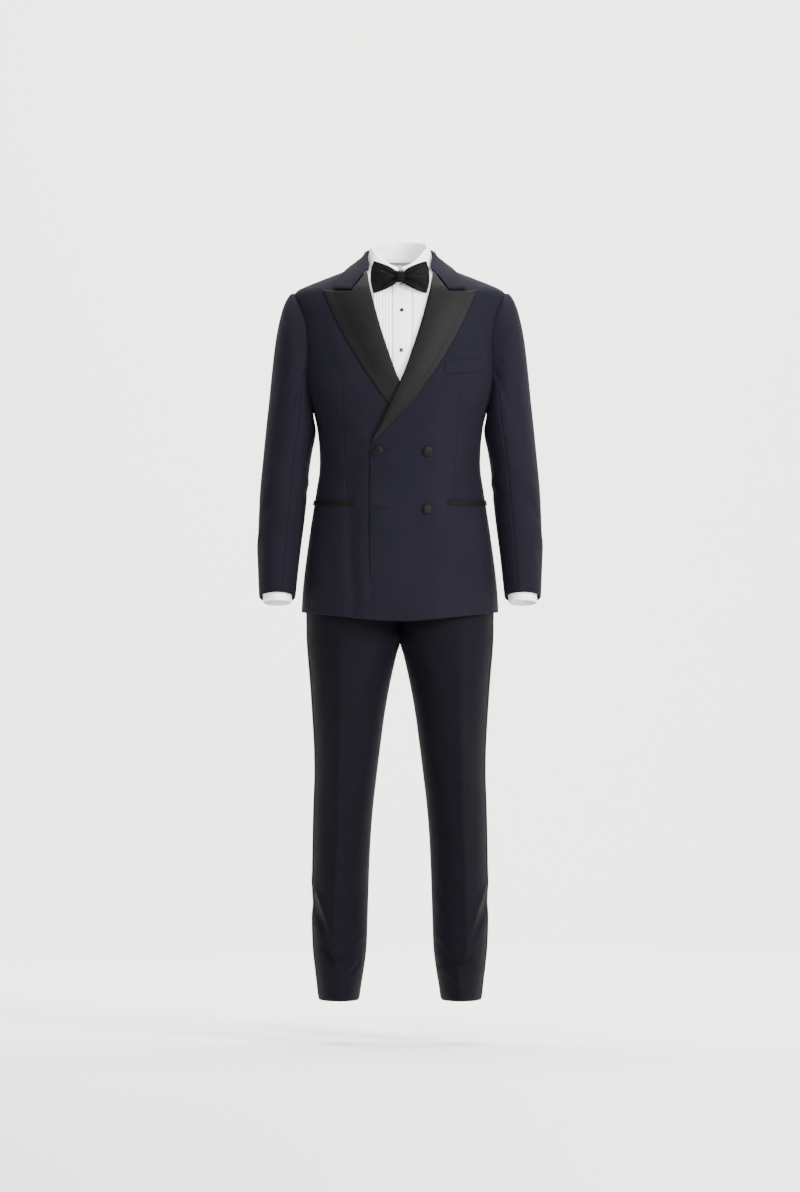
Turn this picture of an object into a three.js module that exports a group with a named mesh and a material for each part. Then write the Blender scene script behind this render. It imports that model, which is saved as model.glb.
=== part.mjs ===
import * as THREE from 'three';

// A black tie suit as it is worn: a double-breasted dinner jacket, its trousers, a pleated dress
// shirt and a bow tie. Millimetres, +Z up, the front faces -Y and the wearer's left is +X.
// The origin is the middle of the shoulders, where the wearer holds it up.

// Driving dimensions
const JACKET_CLOTH = 2;
const TROUSER_CLOTH = 1.6;
const SHIRT_CLOTH = 1;
const SATIN = 1.4;
const SEAM_GAP = 0.3;
const REST_GAP = 0.5;

const SHOULDER_Z = -60;
const NECKLINE_Z = 10;
const WAIST_Z = -432;
const JACKET_HEM_Z = -701;
const JACKET_HEM_DROP = 17;
const CROTCH_Z = -722;
const TROUSER_HEM_Z = -1476;

const NAVY = { color: '#23242f', roughness: 0.86, metalness: 0 };
const SATIN_BLACK = { color: '#17171b', roughness: 0.34, metalness: 0 };
const WHITE = { color: '#e9eaee', roughness: 0.8, metalness: 0 };
const ONYX = { color: '#0c0c0e', roughness: 0.2, metalness: 0 };

const mix = (from, to, share) => from + (to - from) * share;
const clamp = (value) => Math.min(1, Math.max(0, value));
const ease = (value) => clamp(value) ** 2 * (3 - 2 * clamp(value));
const degrees = (value) => (value * Math.PI) / 180;

// A smooth curve through one column of a table, whose rows run in the order of the key column.
function through(rows, key, column) {
  const slope = (i) => {
    const a = rows[Math.max(i - 1, 0)];
    const b = rows[Math.min(i + 1, rows.length - 1)];
    return (b[column] - a[column]) / (b[key] - a[key]);
  };
  const rising = rows[rows.length - 1][key] > rows[0][key];
  return (at) => {
    let i = 0;
    while (i < rows.length - 2 && (rising ? at > rows[i + 1][key] : at < rows[i + 1][key])) i += 1;
    const span = rows[i + 1][key] - rows[i][key];
    const s = clamp((at - rows[i][key]) / span);
    const s2 = s * s;
    const s3 = s2 * s;
    return (
      (2 * s3 - 3 * s2 + 1) * rows[i][column] +
      (s3 - 2 * s2 + s) * span * slope(i) +
      (3 * s2 - 2 * s3) * rows[i + 1][column] +
      (s3 - s2) * span * slope(i + 1)
    );
  };
}

// A closed cloth wall: place(i, j, out) is the point of grid line i, j on the cloth's face, moved out.
function wall(columns, rows, place, thick, joined = false) {
  const points = [];
  for (const out of [0, -thick]) {
    for (let j = 0; j <= rows; j += 1) {
      for (let i = 0; i <= columns; i += 1) points.push(place(joined ? i % columns : i, j, out));
    }
  }
  const layer = (columns + 1) * (rows + 1);
  const at = (i, j, side) => side * layer + j * (columns + 1) + i;
  const triangles = [];
  const quad = (a, b, c, d) => triangles.push(a, b, c, a, c, d);
  for (let j = 0; j < rows; j += 1) {
    for (let i = 0; i < columns; i += 1) {
      quad(at(i, j, 0), at(i + 1, j, 0), at(i + 1, j + 1, 0), at(i, j + 1, 0));
      quad(at(i, j, 1), at(i, j + 1, 1), at(i + 1, j + 1, 1), at(i + 1, j, 1));
    }
    if (!joined) {
      quad(at(0, j, 0), at(0, j + 1, 0), at(0, j + 1, 1), at(0, j, 1));
      quad(at(columns, j, 0), at(columns, j, 1), at(columns, j + 1, 1), at(columns, j + 1, 0));
    }
  }
  for (let i = 0; i < columns; i += 1) {
    quad(at(i, 0, 0), at(i, 0, 1), at(i + 1, 0, 1), at(i + 1, 0, 0));
    quad(at(i, rows, 0), at(i + 1, rows, 0), at(i + 1, rows, 1), at(i, rows, 1));
  }
  let volume = 0;
  for (let k = 0; k < triangles.length; k += 3) {
    const [a, b, c] = [points[triangles[k]], points[triangles[k + 1]], points[triangles[k + 2]]];
    volume += a.dot(b.clone().cross(c));
  }
  if (volume < 0) triangles.reverse();
  const geometry = new THREE.BufferGeometry().setFromPoints(points);
  geometry.setIndex(triangles);
  return geometry;
}

const suit = new THREE.Group();
function piece(name, geometry, finish) {
  const mesh = new THREE.Mesh(geometry, new THREE.MeshStandardMaterial(finish));
  mesh.name = name;
  suit.add(mesh);
  return mesh;
}
const mirrored = (point, side) => point.setX(point.x * side);
const SIDES = [
  { name: 'left', side: 1 },
  { name: 'right', side: -1 },
];

// Torso: level sections of the jacket, from the collar's roll down to the hem
const TORSO = [
  { z: 44, half: 66, front: 40, back: 79, power: 2 },
  { z: 26, half: 70, front: 42, back: 82, power: 2 },
  { z: 10, half: 75, front: 48, back: 85, power: 2 },
  { z: -6, half: 92, front: 58, back: 89, power: 2.05 },
  { z: -16, half: 110, front: 65, back: 92, power: 2.1 },
  { z: -26, half: 135.5, front: 72, back: 95, power: 2.15 },
  { z: -36, half: 161, front: 79, back: 98, power: 2.2 },
  { z: -46, half: 186, front: 85, back: 101, power: 2.25 },
  { z: -54, half: 203, front: 90, back: 103, power: 2.3 },
  { z: -62, half: 211, front: 94, back: 105, power: 2.3 },
  { z: -74, half: 212, front: 99, back: 107.5, power: 2.35 },
  { z: -90, half: 210, front: 105, back: 110.5, power: 2.4 },
  { z: -112, half: 207, front: 111, back: 114, power: 2.4 },
  { z: -164, half: 205, front: 122, back: 119, power: 2.4 },
  { z: -220, half: 200, front: 130, back: 119, power: 2.4 },
  { z: -272, half: 186, front: 133, back: 114, power: 2.4 },
  { z: -300, half: 174, front: 132, back: 110, power: 2.4 },
  { z: -336, half: 165, front: 129, back: 103, power: 2.35 },
  { z: -376, half: 160.5, front: 125, back: 96, power: 2.3 },
  { z: -416, half: 161, front: 122, back: 93, power: 2.3 },
  { z: -456, half: 168, front: 121, back: 97, power: 2.3 },
  { z: -496, half: 175, front: 122, back: 105, power: 2.3 },
  { z: -536, half: 181, front: 124, back: 113, power: 2.3 },
  { z: -596, half: 188, front: 127, back: 121, power: 2.3 },
  { z: -656, half: 194, front: 130, back: 124, power: 2.3 },
  { z: -724, half: 199, front: 132, back: 124, power: 2.3 },
];
const torsoHalf = through(TORSO, 'z', 'half');
const torsoFront = through(TORSO, 'z', 'front');
const torsoBack = through(TORSO, 'z', 'back');
const torsoPower = through(TORSO, 'z', 'power');

function onSection(angle, z) {
  const power = torsoPower(z);
  const depth = Math.sin(angle) < 0 ? torsoFront(z) : torsoBack(z);
  const across = (Math.abs(Math.cos(angle)) / torsoHalf(z)) ** power;
  const along = (Math.abs(Math.sin(angle)) / depth) ** power;
  const reach = (across + along) ** (-1 / power);
  return new THREE.Vector3(reach * Math.cos(angle), reach * Math.sin(angle), z);
}

// The point of the torso at an angle (-90 degrees is the front, 0 the wearer's left) and a height.
const TURN_STEP = 0.01;
function torso(angle, z, out) {
  const turn = onSection(angle + TURN_STEP, z).sub(onSection(angle - TURN_STEP, z));
  const rise = onSection(angle, z + 1).sub(onSection(angle, z - 1));
  return onSection(angle, z).addScaledVector(turn.cross(rise).normalize(), out);
}

const share = (value, whole, power) => (1 - Math.min(1, Math.abs(value / whole)) ** power) ** (1 / power);
const frontAngle = (x, z) => Math.atan2(-torsoFront(z) * share(x, torsoHalf(z), torsoPower(z)), x);
function depthAngle(y, z) {
  const depth = y < 0 ? torsoFront(z) : torsoBack(z);
  return Math.atan2(y, torsoHalf(z) * share(y, depth, torsoPower(z)));
}

// Armhole: an oval of 20 steps, from the shoulder tip forward under the arm and up the back
const ARM_STEPS = 20;
const ARM_MIDDLE_Z = -180;
const ARM_REACH_Z = 120;
const ARM_REACH_Y = 66;
const JOIN_STEP = 8;
const armTurn = (step) => (step * 2 * Math.PI) / ARM_STEPS;
const armZ = (step) => ARM_MIDDLE_Z + ARM_REACH_Z * Math.cos(armTurn(step));
const armY = (step) => -ARM_REACH_Y * Math.sin(armTurn(step));
const armAngle = (step) => depthAngle(armY(step), armZ(step));

// Body rows: shoulder rows, armhole rows, and skirt rows down to the hem
const SHOULDER_ROWS = 6;
const SKIRT_ROWS = 9;
const BODY_ROWS = SHOULDER_ROWS + JOIN_STEP + SKIRT_ROWS;
const hemZ = (angle) => JACKET_HEM_Z - JACKET_HEM_DROP * Math.max(0, -Math.sin(angle)) ** 2;
function bodyZ(row, angle) {
  if (row <= SHOULDER_ROWS) return mix(NECKLINE_Z, SHOULDER_Z, row / SHOULDER_ROWS);
  if (row <= SHOULDER_ROWS + JOIN_STEP) return armZ(row - SHOULDER_ROWS);
  return mix(armZ(JOIN_STEP), hemZ(angle), (row - SHOULDER_ROWS - JOIN_STEP) / SKIRT_ROWS);
}
const gapAngle = (z) => SEAM_GAP / 2 / torsoHalf(z);
const SIDE_SEAM_FRONT = degrees(-19);
const SIDE_SEAM_BACK = degrees(22);

// The outer edge of a front or back: the shoulder seam, then the armhole, then the side seam.
function outerAngle(row, way) {
  if (row <= SHOULDER_ROWS) return 0;
  const step = Math.min(row - SHOULDER_ROWS, JOIN_STEP);
  const edge = armAngle(way < 0 ? step : ARM_STEPS - step);
  const down = Math.max(0, row - SHOULDER_ROWS - JOIN_STEP) / SKIRT_ROWS;
  return mix(edge, way < 0 ? SIDE_SEAM_FRONT : SIDE_SEAM_BACK, down);
}

// Front edge: the lapel's roll line down to the fastening, then the straight edge to the hem
const ROLL = [
  { z: 20, x: 67 },
  { z: -10, x: 66.5 },
  { z: -54, x: 59.5 },
  { z: -76, x: 54 },
  { z: -118, x: 43 },
  { z: -170, x: 26.5 },
  { z: -224, x: 7.5 },
  { z: -280, x: -17.5 },
  { z: -324, x: -37 },
  { z: -362, x: -55 },
  { z: -390, x: -58.5 },
  { z: -550, x: -59.5 },
  { z: -724, x: -60 },
];
const rollX = through(ROLL, 'z', 'x');
const NECK_TURN = { inward: 7, fromZ: -46, rise: 16 };
const edgeX = (z) => rollX(z) + NECK_TURN.inward * ease((z - NECK_TURN.fromZ) / NECK_TURN.rise);

// The wearer's left front lies over the right one, and stands out by the lapel and cloth under it.
const LAP = { lift: 6.2, endX: 134, fade: 70, topZ: -150, grow: 90 };
function lapLift(point, side) {
  if (side < 0) return 0;
  return LAP.lift * ease((LAP.endX - point.x) / LAP.fade) * ease((LAP.topZ - point.z) / LAP.grow);
}
const FRONT_COLUMNS = 8;
for (const { name, side } of SIDES) {
  const place = (i, j, out) => {
    const hemward = bodyZ(j, degrees(-90));
    const inner = frontAngle(edgeX(hemward), hemward);
    const outer = outerAngle(j, -1) - gapAngle(hemward);
    const angle = mix(inner, outer, i / FRONT_COLUMNS);
    const z = bodyZ(j, angle);
    return mirrored(torso(angle, z, out + lapLift(onSection(angle, z), side)), side);
  };
  piece(`jacket_front_${name}`, wall(FRONT_COLUMNS, BODY_ROWS, place, JACKET_CLOTH), NAVY);
}

// Side body: from the foot of the armhole to the hem
const SIDE_COLUMNS = ARM_STEPS - 2 * JOIN_STEP;
for (const { name, side } of SIDES) {
  const place = (i, j, out) => {
    const step = JOIN_STEP + i;
    const from = armAngle(JOIN_STEP);
    const to = armAngle(ARM_STEPS - JOIN_STEP);
    const across = (armAngle(step) - from) / (to - from);
    const down = j / SKIRT_ROWS;
    const gap = mix(1, -1, across) * gapAngle(WAIST_Z);
    const angle = mix(mix(from, SIDE_SEAM_FRONT, down), mix(to, SIDE_SEAM_BACK, down), across) + gap;
    const z = mix(armZ(step), hemZ(angle), down);
    return mirrored(torso(angle, z, out), side);
  };
  piece(`jacket_side_${name}`, wall(SIDE_COLUMNS, SKIRT_ROWS, place, JACKET_CLOTH), NAVY);
}

// Back: two halves, joined down the middle
const BACK_COLUMNS = 6;
for (const { name, side } of SIDES) {
  const place = (i, j, out) => {
    const level = bodyZ(j, degrees(90));
    const outer = outerAngle(j, 1) + gapAngle(level);
    const angle = mix(outer, degrees(90) - gapAngle(level) * 2, i / BACK_COLUMNS);
    return mirrored(torso(angle, bodyZ(j, angle), out), side);
  };
  piece(`jacket_back_${name}`, wall(BACK_COLUMNS, BODY_ROWS, place, JACKET_CLOTH), NAVY);
}

// Lapels: satin, peaked, turned back along the roll line
const LAPEL_TOP_Z = -20;
const PEAK_Z = -57;
const LAPEL_END_Z = -362;
const LAPEL_EDGE = [
  { z: -57, x: 154.5 },
  { z: -100, x: 135 },
  { z: -142, x: 115 },
  { z: -200, x: 81 },
  { z: -247, x: 49 },
  { z: -279, x: 26 },
  { z: -338, x: -31.5 },
  { z: -362, x: -53.5 },
];
const lapelEdgeX = through(LAPEL_EDGE, 'z', 'x');
// The top edge dips from the roll line to the gorge's foot and rises along the notch to the peak.
const LAPEL_ACROSS = [
  { at: 0, dip: 0 },
  { at: 0.17, dip: -16.5 },
  { at: 0.35, dip: -30.5 },
  { at: 0.52, dip: -24.5 },
  { at: 0.7, dip: -16.5 },
  { at: 0.86, dip: -7.5 },
  { at: 1, dip: 0 },
];
const LAPEL_ROWS = 14;
const LAPEL_GAP = 1.3;
const LAPEL_POINT_DROP = 2;
const LAPEL_POINT_X = 1.5;
const NOTCH_FADE = 7;
// The facing rolls up between its edges, less toward its point and, below the lap, not at all.
const LAPEL_ROLL = { rise: 4.2, from: 0.12, reach: 1.15, fall: 0.75, freeZ: -260, freeFade: 60 };
for (const { name, side } of SIDES) {
  const place = (i, j, out) => {
    const { at, dip } = LAPEL_ACROSS[i];
    const down = j / LAPEL_ROWS;
    const innerZ = mix(LAPEL_TOP_Z, LAPEL_END_Z, down);
    const outerZ = mix(PEAK_Z, LAPEL_END_Z - LAPEL_POINT_DROP, down);
    const x = mix(rollX(innerZ), lapelEdgeX(outerZ) + LAPEL_POINT_X * down, at);
    const z = mix(innerZ, outerZ, at) + dip * (1 - down) ** NOTCH_FADE;
    const free = side > 0 ? 1 : ease((z - LAPEL_ROLL.freeZ) / LAPEL_ROLL.freeFade);
    const swell = Math.sin(Math.PI * Math.min(1, at * LAPEL_ROLL.reach + LAPEL_ROLL.from));
    const roll = LAPEL_ROLL.rise * free * swell * (1 - LAPEL_ROLL.fall * down);
    const lift = lapLift(new THREE.Vector3(x, 0, z), side);
    const face = LAPEL_GAP + SATIN + lift + roll;
    return mirrored(torso(frontAngle(x, z), z, out + face), side);
  };
  const columns = LAPEL_ACROSS.length - 1;
  piece(`lapel_${name}`, wall(columns, LAPEL_ROWS, place, SATIN), SATIN_BLACK);
}

// Jacket collar: one folded strip round the neck. The fall lies on the jacket from the gorge to the
// roll edge, and the stand drops inside the neckline.
const COLLAR_COLUMNS = [
  'at', 'rollTurn', 'rollZ', 'midTurn', 'midZ', 'fallTurn', 'fallZ', 'stand', 'crest', 'standIn',
];
const COLLAR = [
  [0, 90, 35, 90, 13, 90, -9, 24, 0.15, 5.5],
  [0.3, 55, 33, 56, 11, 58, -9, 21, 0.15, 5.5],
  [0.55, 22, 25, 24, 6, 25, -9, 16, 0.15, 5.5],
  [0.7, -5, 18, -4, 2, -3, -11, 10, 0.15, 5.5],
  [0.82, -19, 8.5, -20, -9, -18, -23, 6, 0.4, 4.8],
  [0.92, -32, -4, -33, -30, -25.5, -40, 3, 0.5, 3.4],
  [1, -41, -17, -42, -59, -30.5, -56.5, 1.5, 0.5, 2.8],
];
const COLLAR_LIFT = 5.2;
const COLLAR_CLOTH = JACKET_CLOTH * 0.8;
const COLLAR_STEPS = 12;
// How far down the fall each row lies: from its edge up to the roll, where it stands out less.
const FALL_AT = [1, 0.74, 0.5, 0.27, 0.08];
const FALL_LIFT_RATE = 1.75;
const FALL_STEPS = FALL_AT.length;
const STAND_STEPS = 2;
const collarRowsNamed = COLLAR.map((row) => Object.fromEntries(row.map((x, k) => [COLLAR_COLUMNS[k], x])));
const collarOf = (column) => through(collarRowsNamed, 'at', column);
const [rollTurn, rollZ] = ['rollTurn', 'rollZ'].map(collarOf);
const [midTurn, midZ] = ['midTurn', 'midZ'].map(collarOf);
const [fallTurn, fallZ, standDrop] = ['fallTurn', 'fallZ', 'stand'].map(collarOf);
const [crestLift, standIn] = ['crest', 'standIn'].map(collarOf);
const between = (a, b, c, t) => (t < 0.5 ? mix(a, b, 2 * t) : mix(b, c, 2 * t - 1));
function collarPoint(i, j, out) {
  const at = Math.abs(i - COLLAR_STEPS) / COLLAR_STEPS;
  const side = i < COLLAR_STEPS ? 1 : -1;
  let angle = rollTurn(at);
  let z = rollZ(at);
  let level = 0;
  if (j < FALL_STEPS) {
    const down = FALL_AT[j];
    angle = between(rollTurn(at), midTurn(at), fallTurn(at), down);
    z = between(rollZ(at), midZ(at), fallZ(at), down);
    level = COLLAR_LIFT * Math.min(1, crestLift(at) + down * FALL_LIFT_RATE);
  } else if (j > FALL_STEPS) {
    z -= (standDrop(at) * (j - FALL_STEPS)) / STAND_STEPS;
    level = -standIn(at);
  }
  const facing = j > FALL_STEPS ? -1 : 1;
  const depth = j === FALL_STEPS ? 0 : level;
  const point = torso(degrees(angle), z, depth + facing * out);
  if (j === FALL_STEPS) point.z += out;
  return mirrored(point, side);
}
const collarRows = FALL_STEPS + STAND_STEPS;
piece('jacket_collar', wall(2 * COLLAR_STEPS, collarRows, collarPoint, COLLAR_CLOTH), NAVY);

// Sleeves: two panels each. A row runs level round the arm, from its outer line to its inner line.
const SLEEVE = [
  { row: 0, outX: 214, outZ: -60, inX: 174.6, inZ: -300, deep: 66, y: 0, tilt: 0 },
  { row: 1, outX: 222.5, outZ: -64, inX: 173.6, inZ: -306, deep: 68, y: 0, tilt: 0 },
  { row: 2, outX: 232.5, outZ: -83, inX: 172.4, inZ: -312, deep: 70, y: 0, tilt: 0 },
  { row: 3, outX: 242, outZ: -115, inX: 171, inZ: -319, deep: 71, y: 0, tilt: 0 },
  { row: 4, outX: 250.5, outZ: -160, inX: 169.4, inZ: -328, deep: 71.5, y: 1, tilt: 0 },
  { row: 5, outX: 257, outZ: -215, inX: 168.6, inZ: -339, deep: 71, y: 2, tilt: 0 },
  { row: 6, outX: 263, outZ: -275, inX: 171, inZ: -356, deep: 70, y: 3, tilt: 0 },
  { row: 7, outX: 269.5, outZ: -335, inX: 176.6, inZ: -382, deep: 68, y: 4, tilt: 0 },
  { row: 8, outX: 275.5, outZ: -395, inX: 182, inZ: -418, deep: 65, y: 4, tilt: 0 },
  { row: 9, outX: 281, outZ: -455, inX: 186, inZ: -467, deep: 61, y: 0, tilt: 1 },
  { row: 10, outX: 284, outZ: -520, inX: 192, inZ: -523, deep: 57, y: -8, tilt: 3 },
  { row: 11, outX: 285.5, outZ: -590, inX: 200.5, inZ: -590, deep: 52.5, y: -19, tilt: 7 },
  { row: 12, outX: 282.5, outZ: -671, inX: 209, inZ: -671, deep: 48, y: -31, tilt: 11 },
];
const SLEEVE_ROWS = SLEEVE.length - 1;
const HEAD_ROWS = 2.5;
const [outX, outZ, inX, inZ] = ['outX', 'outZ', 'inX', 'inZ'].map((c) => through(SLEEVE, 'row', c));
const [sleeveDeep, sleeveY, sleeveTilt] = ['deep', 'y', 'tilt'].map((c) => through(SLEEVE, 'row', c));
function onSleeve(turn, row) {
  const [cos, sin] = [Math.cos(turn), Math.sin(turn)];
  const x = mix(inX(row), outX(row), (1 + cos) / 2);
  const z = mix(inZ(row), outZ(row), (1 + cos) / 2) + sleeveTilt(row) * sin;
  const y = sleeveY(row) - sleeveDeep(row) * sin;
  const [headY, headZ] = [-ARM_REACH_Y * sin, ARM_MIDDLE_Z + ARM_REACH_Z * cos];
  const depth = headY < 0 ? torsoFront(headZ) : torsoBack(headZ);
  const seamX = torsoHalf(headZ) * share(headY, depth, torsoPower(headZ)) + SEAM_GAP;
  const headX = mix(inX(0), outX(0), (1 + cos) / 2);
  const head = Math.max(0, 1 - row / HEAD_ROWS) ** 2;
  return new THREE.Vector3(x + (seamX - headX) * head, y, z);
}
const SLEEVE_TURN_STEP = 0.02;
const SLEEVE_ROW_STEP = 0.05;
function sleeve(turn, row, out) {
  const round = onSleeve(turn + SLEEVE_TURN_STEP, row).sub(onSleeve(turn - SLEEVE_TURN_STEP, row));
  const [above, below] = [Math.max(row - SLEEVE_ROW_STEP, 0), Math.min(row + SLEEVE_ROW_STEP, SLEEVE_ROWS)];
  const down = onSleeve(turn, below).sub(onSleeve(turn, above));
  return onSleeve(turn, row).addScaledVector(round.cross(down).normalize(), out);
}
const FOREARM_SEAM = 6;
const ELBOW_SEAM = 16;
const ARM_RADIUS = 60;
const seamTurn = SEAM_GAP / 2 / ARM_RADIUS;
for (const { name, side } of SIDES) {
  const panel = (first, last) => {
    const columns = last - first;
    const place = (i, j, out) => {
      const turn = armTurn(first + i) + (i === 0 ? seamTurn : 0) - (i === columns ? seamTurn : 0);
      return mirrored(sleeve(turn, j, out), side);
    };
    return wall(columns, SLEEVE_ROWS, place, JACKET_CLOTH);
  };
  piece(`sleeve_top_${name}`, panel(ELBOW_SEAM - ARM_STEPS, FOREARM_SEAM), NAVY);
  piece(`sleeve_under_${name}`, panel(FOREARM_SEAM, ELBOW_SEAM), NAVY);
}

// Pockets: two satin jets to each hip pocket, and a welt on the wearer's left breast
const POCKET_X = 93.5;
const POCKET_TURN = 46;
const JET_Z = -476.5;
const JET_HEIGHT = 5.4;
const POCKET_COLUMNS = 8;
for (const { name, side } of SIDES) {
  for (const [k, jet] of ['upper', 'lower'].entries()) {
    const top = JET_Z - k * (JET_HEIGHT + SEAM_GAP);
    const place = (i, j, out) => {
      const first = frontAngle(POCKET_X, JET_Z);
      const angle = first + degrees((POCKET_TURN * i) / POCKET_COLUMNS);
      const z = top - j * JET_HEIGHT;
      const face = REST_GAP + SATIN + lapLift(onSection(angle, z), side);
      return mirrored(torso(angle, z, out + face), side);
    };
    piece(`pocket_jet_${jet}_${name}`, wall(POCKET_COLUMNS, 1, place, SATIN), SATIN_BLACK);
  }
}
const WELT = { innerX: 88, outerX: 166, innerZ: -203, outerZ: -197, height: 24, columns: 5, rest: 0.7 };
piece(
  'breast_welt',
  wall(
    WELT.columns,
    1,
    (i, j, out) => {
      const across = i / WELT.columns;
      const z = mix(WELT.innerZ, WELT.outerZ, across) - j * WELT.height;
      const x = mix(WELT.innerX, WELT.outerX, across);
      const face = WELT.rest + JACKET_CLOTH + lapLift(new THREE.Vector3(x, 0, z), 1);
      return torso(frontAngle(x, z), z, out + face);
    },
    JACKET_CLOTH,
  ),
  NAVY,
);

// Buttons: a domed round turned about its own axis, set down on the cloth along the face's normal
const BUTTON_PROFILE = [
  { radius: 0, rise: 0 },
  { radius: 0.8, rise: 0 },
  { radius: 1, rise: 0.35 },
  { radius: 0.72, rise: 0.86 },
  { radius: 0, rise: 1 },
];
function button(name, radius, thick, seat, finish, sides) {
  const profile = BUTTON_PROFILE.map((p) => new THREE.Vector2(p.radius * radius, p.rise * thick));
  const mesh = piece(name, new THREE.LatheGeometry(profile, sides), finish);
  mesh.position.copy(seat(0));
  const facing = seat(1).sub(seat(0)).normalize();
  mesh.quaternion.setFromUnitVectors(new THREE.Vector3(0, 1, 0), facing);
}
const FRONT_BUTTONS = [
  { name: 'button_fastened', x: -42.5, z: -379 },
  { name: 'button_show_upper', x: 54, z: -380 },
  { name: 'button_show_lower', x: 53, z: -496 },
];
const BUTTON_RADIUS = 10.3;
const BUTTON_THICK = 5;
for (const { name, x, z } of FRONT_BUTTONS) {
  const lift = lapLift(new THREE.Vector3(x, 0, z), 1) + REST_GAP;
  const seat = (out) => torso(frontAngle(x, z), z, lift + out);
  button(name, BUTTON_RADIUS, BUTTON_THICK, seat, SATIN_BLACK, 16);
}
const CUFF_BUTTON = { count: 4, radius: 7, thick: 4, turn: degrees(-52), row: 11.84, pitch: 0.2, rest: 0.65 };
for (const { name, side } of SIDES) {
  for (let k = 0; k < CUFF_BUTTON.count; k += 1) {
    const row = CUFF_BUTTON.row - k * CUFF_BUTTON.pitch;
    const seat = (out) => mirrored(sleeve(CUFF_BUTTON.turn, row, out + CUFF_BUTTON.rest), side);
    button(`cuff_button_${name}_${k + 1}`, CUFF_BUTTON.radius, CUFF_BUTTON.thick, seat, SATIN_BLACK, 10);
  }
}

// Trousers: the hip follows the jacket inside it, and each leg has a crease front and back
const LEG = [
  { z: -722, outer: 187, inner: -0.2, deep: 97, y: 1, crease: 118, sharp: 1 },
  { z: -756, outer: 186.5, inner: -0.2, deep: 97, y: 3, crease: 120, sharp: 3 },
  { z: -786, outer: 184.5, inner: 7.5, deep: 97, y: 4, crease: 121, sharp: 5 },
  { z: -846, outer: 179.5, inner: 20, deep: 96, y: 5, crease: 122, sharp: 7 },
  { z: -906, outer: 175.5, inner: 30.5, deep: 91, y: 4, crease: 122, sharp: 8 },
  { z: -966, outer: 172, inner: 38.5, deep: 86, y: 3, crease: 122, sharp: 8 },
  { z: -1026, outer: 171, inner: 46, deep: 82, y: 3, crease: 123, sharp: 8 },
  { z: -1086, outer: 173, inner: 53, deep: 79, y: 4, crease: 125, sharp: 8 },
  { z: -1146, outer: 174.5, inner: 58, deep: 77, y: 5, crease: 127, sharp: 8 },
  { z: -1206, outer: 175.5, inner: 61, deep: 75, y: 6, crease: 129, sharp: 8 },
  { z: -1266, outer: 176.5, inner: 63, deep: 73, y: 6, crease: 131, sharp: 8 },
  { z: -1326, outer: 176, inner: 65, deep: 71, y: 3, crease: 132, sharp: 7 },
  { z: -1376, outer: 174, inner: 67, deep: 69, y: -1, crease: 132, sharp: 7 },
  { z: -1416, outer: 169.5, inner: 72, deep: 67, y: -5, crease: 129, sharp: 7 },
  { z: -1446, outer: 166, inner: 77, deep: 66, y: -7, crease: 125, sharp: 7 },
  { z: -1476, outer: 163, inner: 81, deep: 65, y: -8, crease: 122, sharp: 7 },
];
const legOf = (column) => through(LEG, 'z', column);
const [legOuter, legInner, legDeep] = ['outer', 'inner', 'deep'].map(legOf);
const [legY, legCrease, legSharp] = ['y', 'crease', 'sharp'].map(legOf);
const HIP = { inset: 5.2, lowInset: 8.5, fromZ: -600, fade: 110 };
const FORK_TOP_Z = -636;
const CREASE_WIDE = 15;
const CREASE_LEVEL = 0.4;
const hipOut = (z) => -mix(HIP.inset, HIP.lowInset, ease((HIP.fromZ - z) / HIP.fade));

// across runs 0 at the middle front, 1 at the side seam and 2 at the middle back, or at the inseam.
function onTrouser(across, z) {
  const hip = torso(degrees(-90 + 90 * across), z, hipOut(z));
  hip.z = z;
  if (z > FORK_TOP_Z) return hip;
  const turn = degrees(-180 + 180 * across);
  const [outer, inner] = [legOuter(z), legInner(z)];
  const x = mix(inner, outer, (1 + Math.cos(turn)) / 2);
  const near = Math.exp(-(((x - legCrease(z)) / CREASE_WIDE) ** 2));
  const deep = legDeep(z) + legSharp(z) * (near - CREASE_LEVEL);
  const leg = new THREE.Vector3(x, legY(z) + deep * Math.sin(turn), z);
  return hip.lerp(leg, ease((FORK_TOP_Z - z) / (FORK_TOP_Z - CROTCH_Z)));
}
const ACROSS_STEP = 0.012;
function trouser(across, z, out) {
  const [from, to] = [Math.max(across - ACROSS_STEP, 0), Math.min(across + ACROSS_STEP, 2)];
  const round = onTrouser(to, z).sub(onTrouser(from, z));
  const rise = onTrouser(across, z + 1).sub(onTrouser(across, z - 1));
  const point = onTrouser(across, z).addScaledVector(round.cross(rise).normalize(), out);
  return point.setX(Math.max(point.x, SEAM_GAP / 2));
}
const BAND_HEIGHT = 38;
const HIP_ROWS = 4;
const FORK_ROWS = 3;
const LEG_ROWS = 11;
const TROUSER_ROWS = HIP_ROWS + FORK_ROWS + LEG_ROWS;
const TROUSER_COLUMNS = 7;
function trouserZ(row) {
  const top = WAIST_Z - BAND_HEIGHT - SEAM_GAP;
  if (row <= HIP_ROWS) return mix(top, FORK_TOP_Z, row / HIP_ROWS);
  if (row <= HIP_ROWS + FORK_ROWS) return mix(FORK_TOP_Z, CROTCH_Z, (row - HIP_ROWS) / FORK_ROWS);
  return mix(CROTCH_Z, TROUSER_HEM_Z, (row - HIP_ROWS - FORK_ROWS) / LEG_ROWS);
}
const QUARTER_GIRTH = 160;
const SIDE_SEAM_GAP = SEAM_GAP / 2 / QUARTER_GIRTH;
const INSEAM_START = 20;
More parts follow.
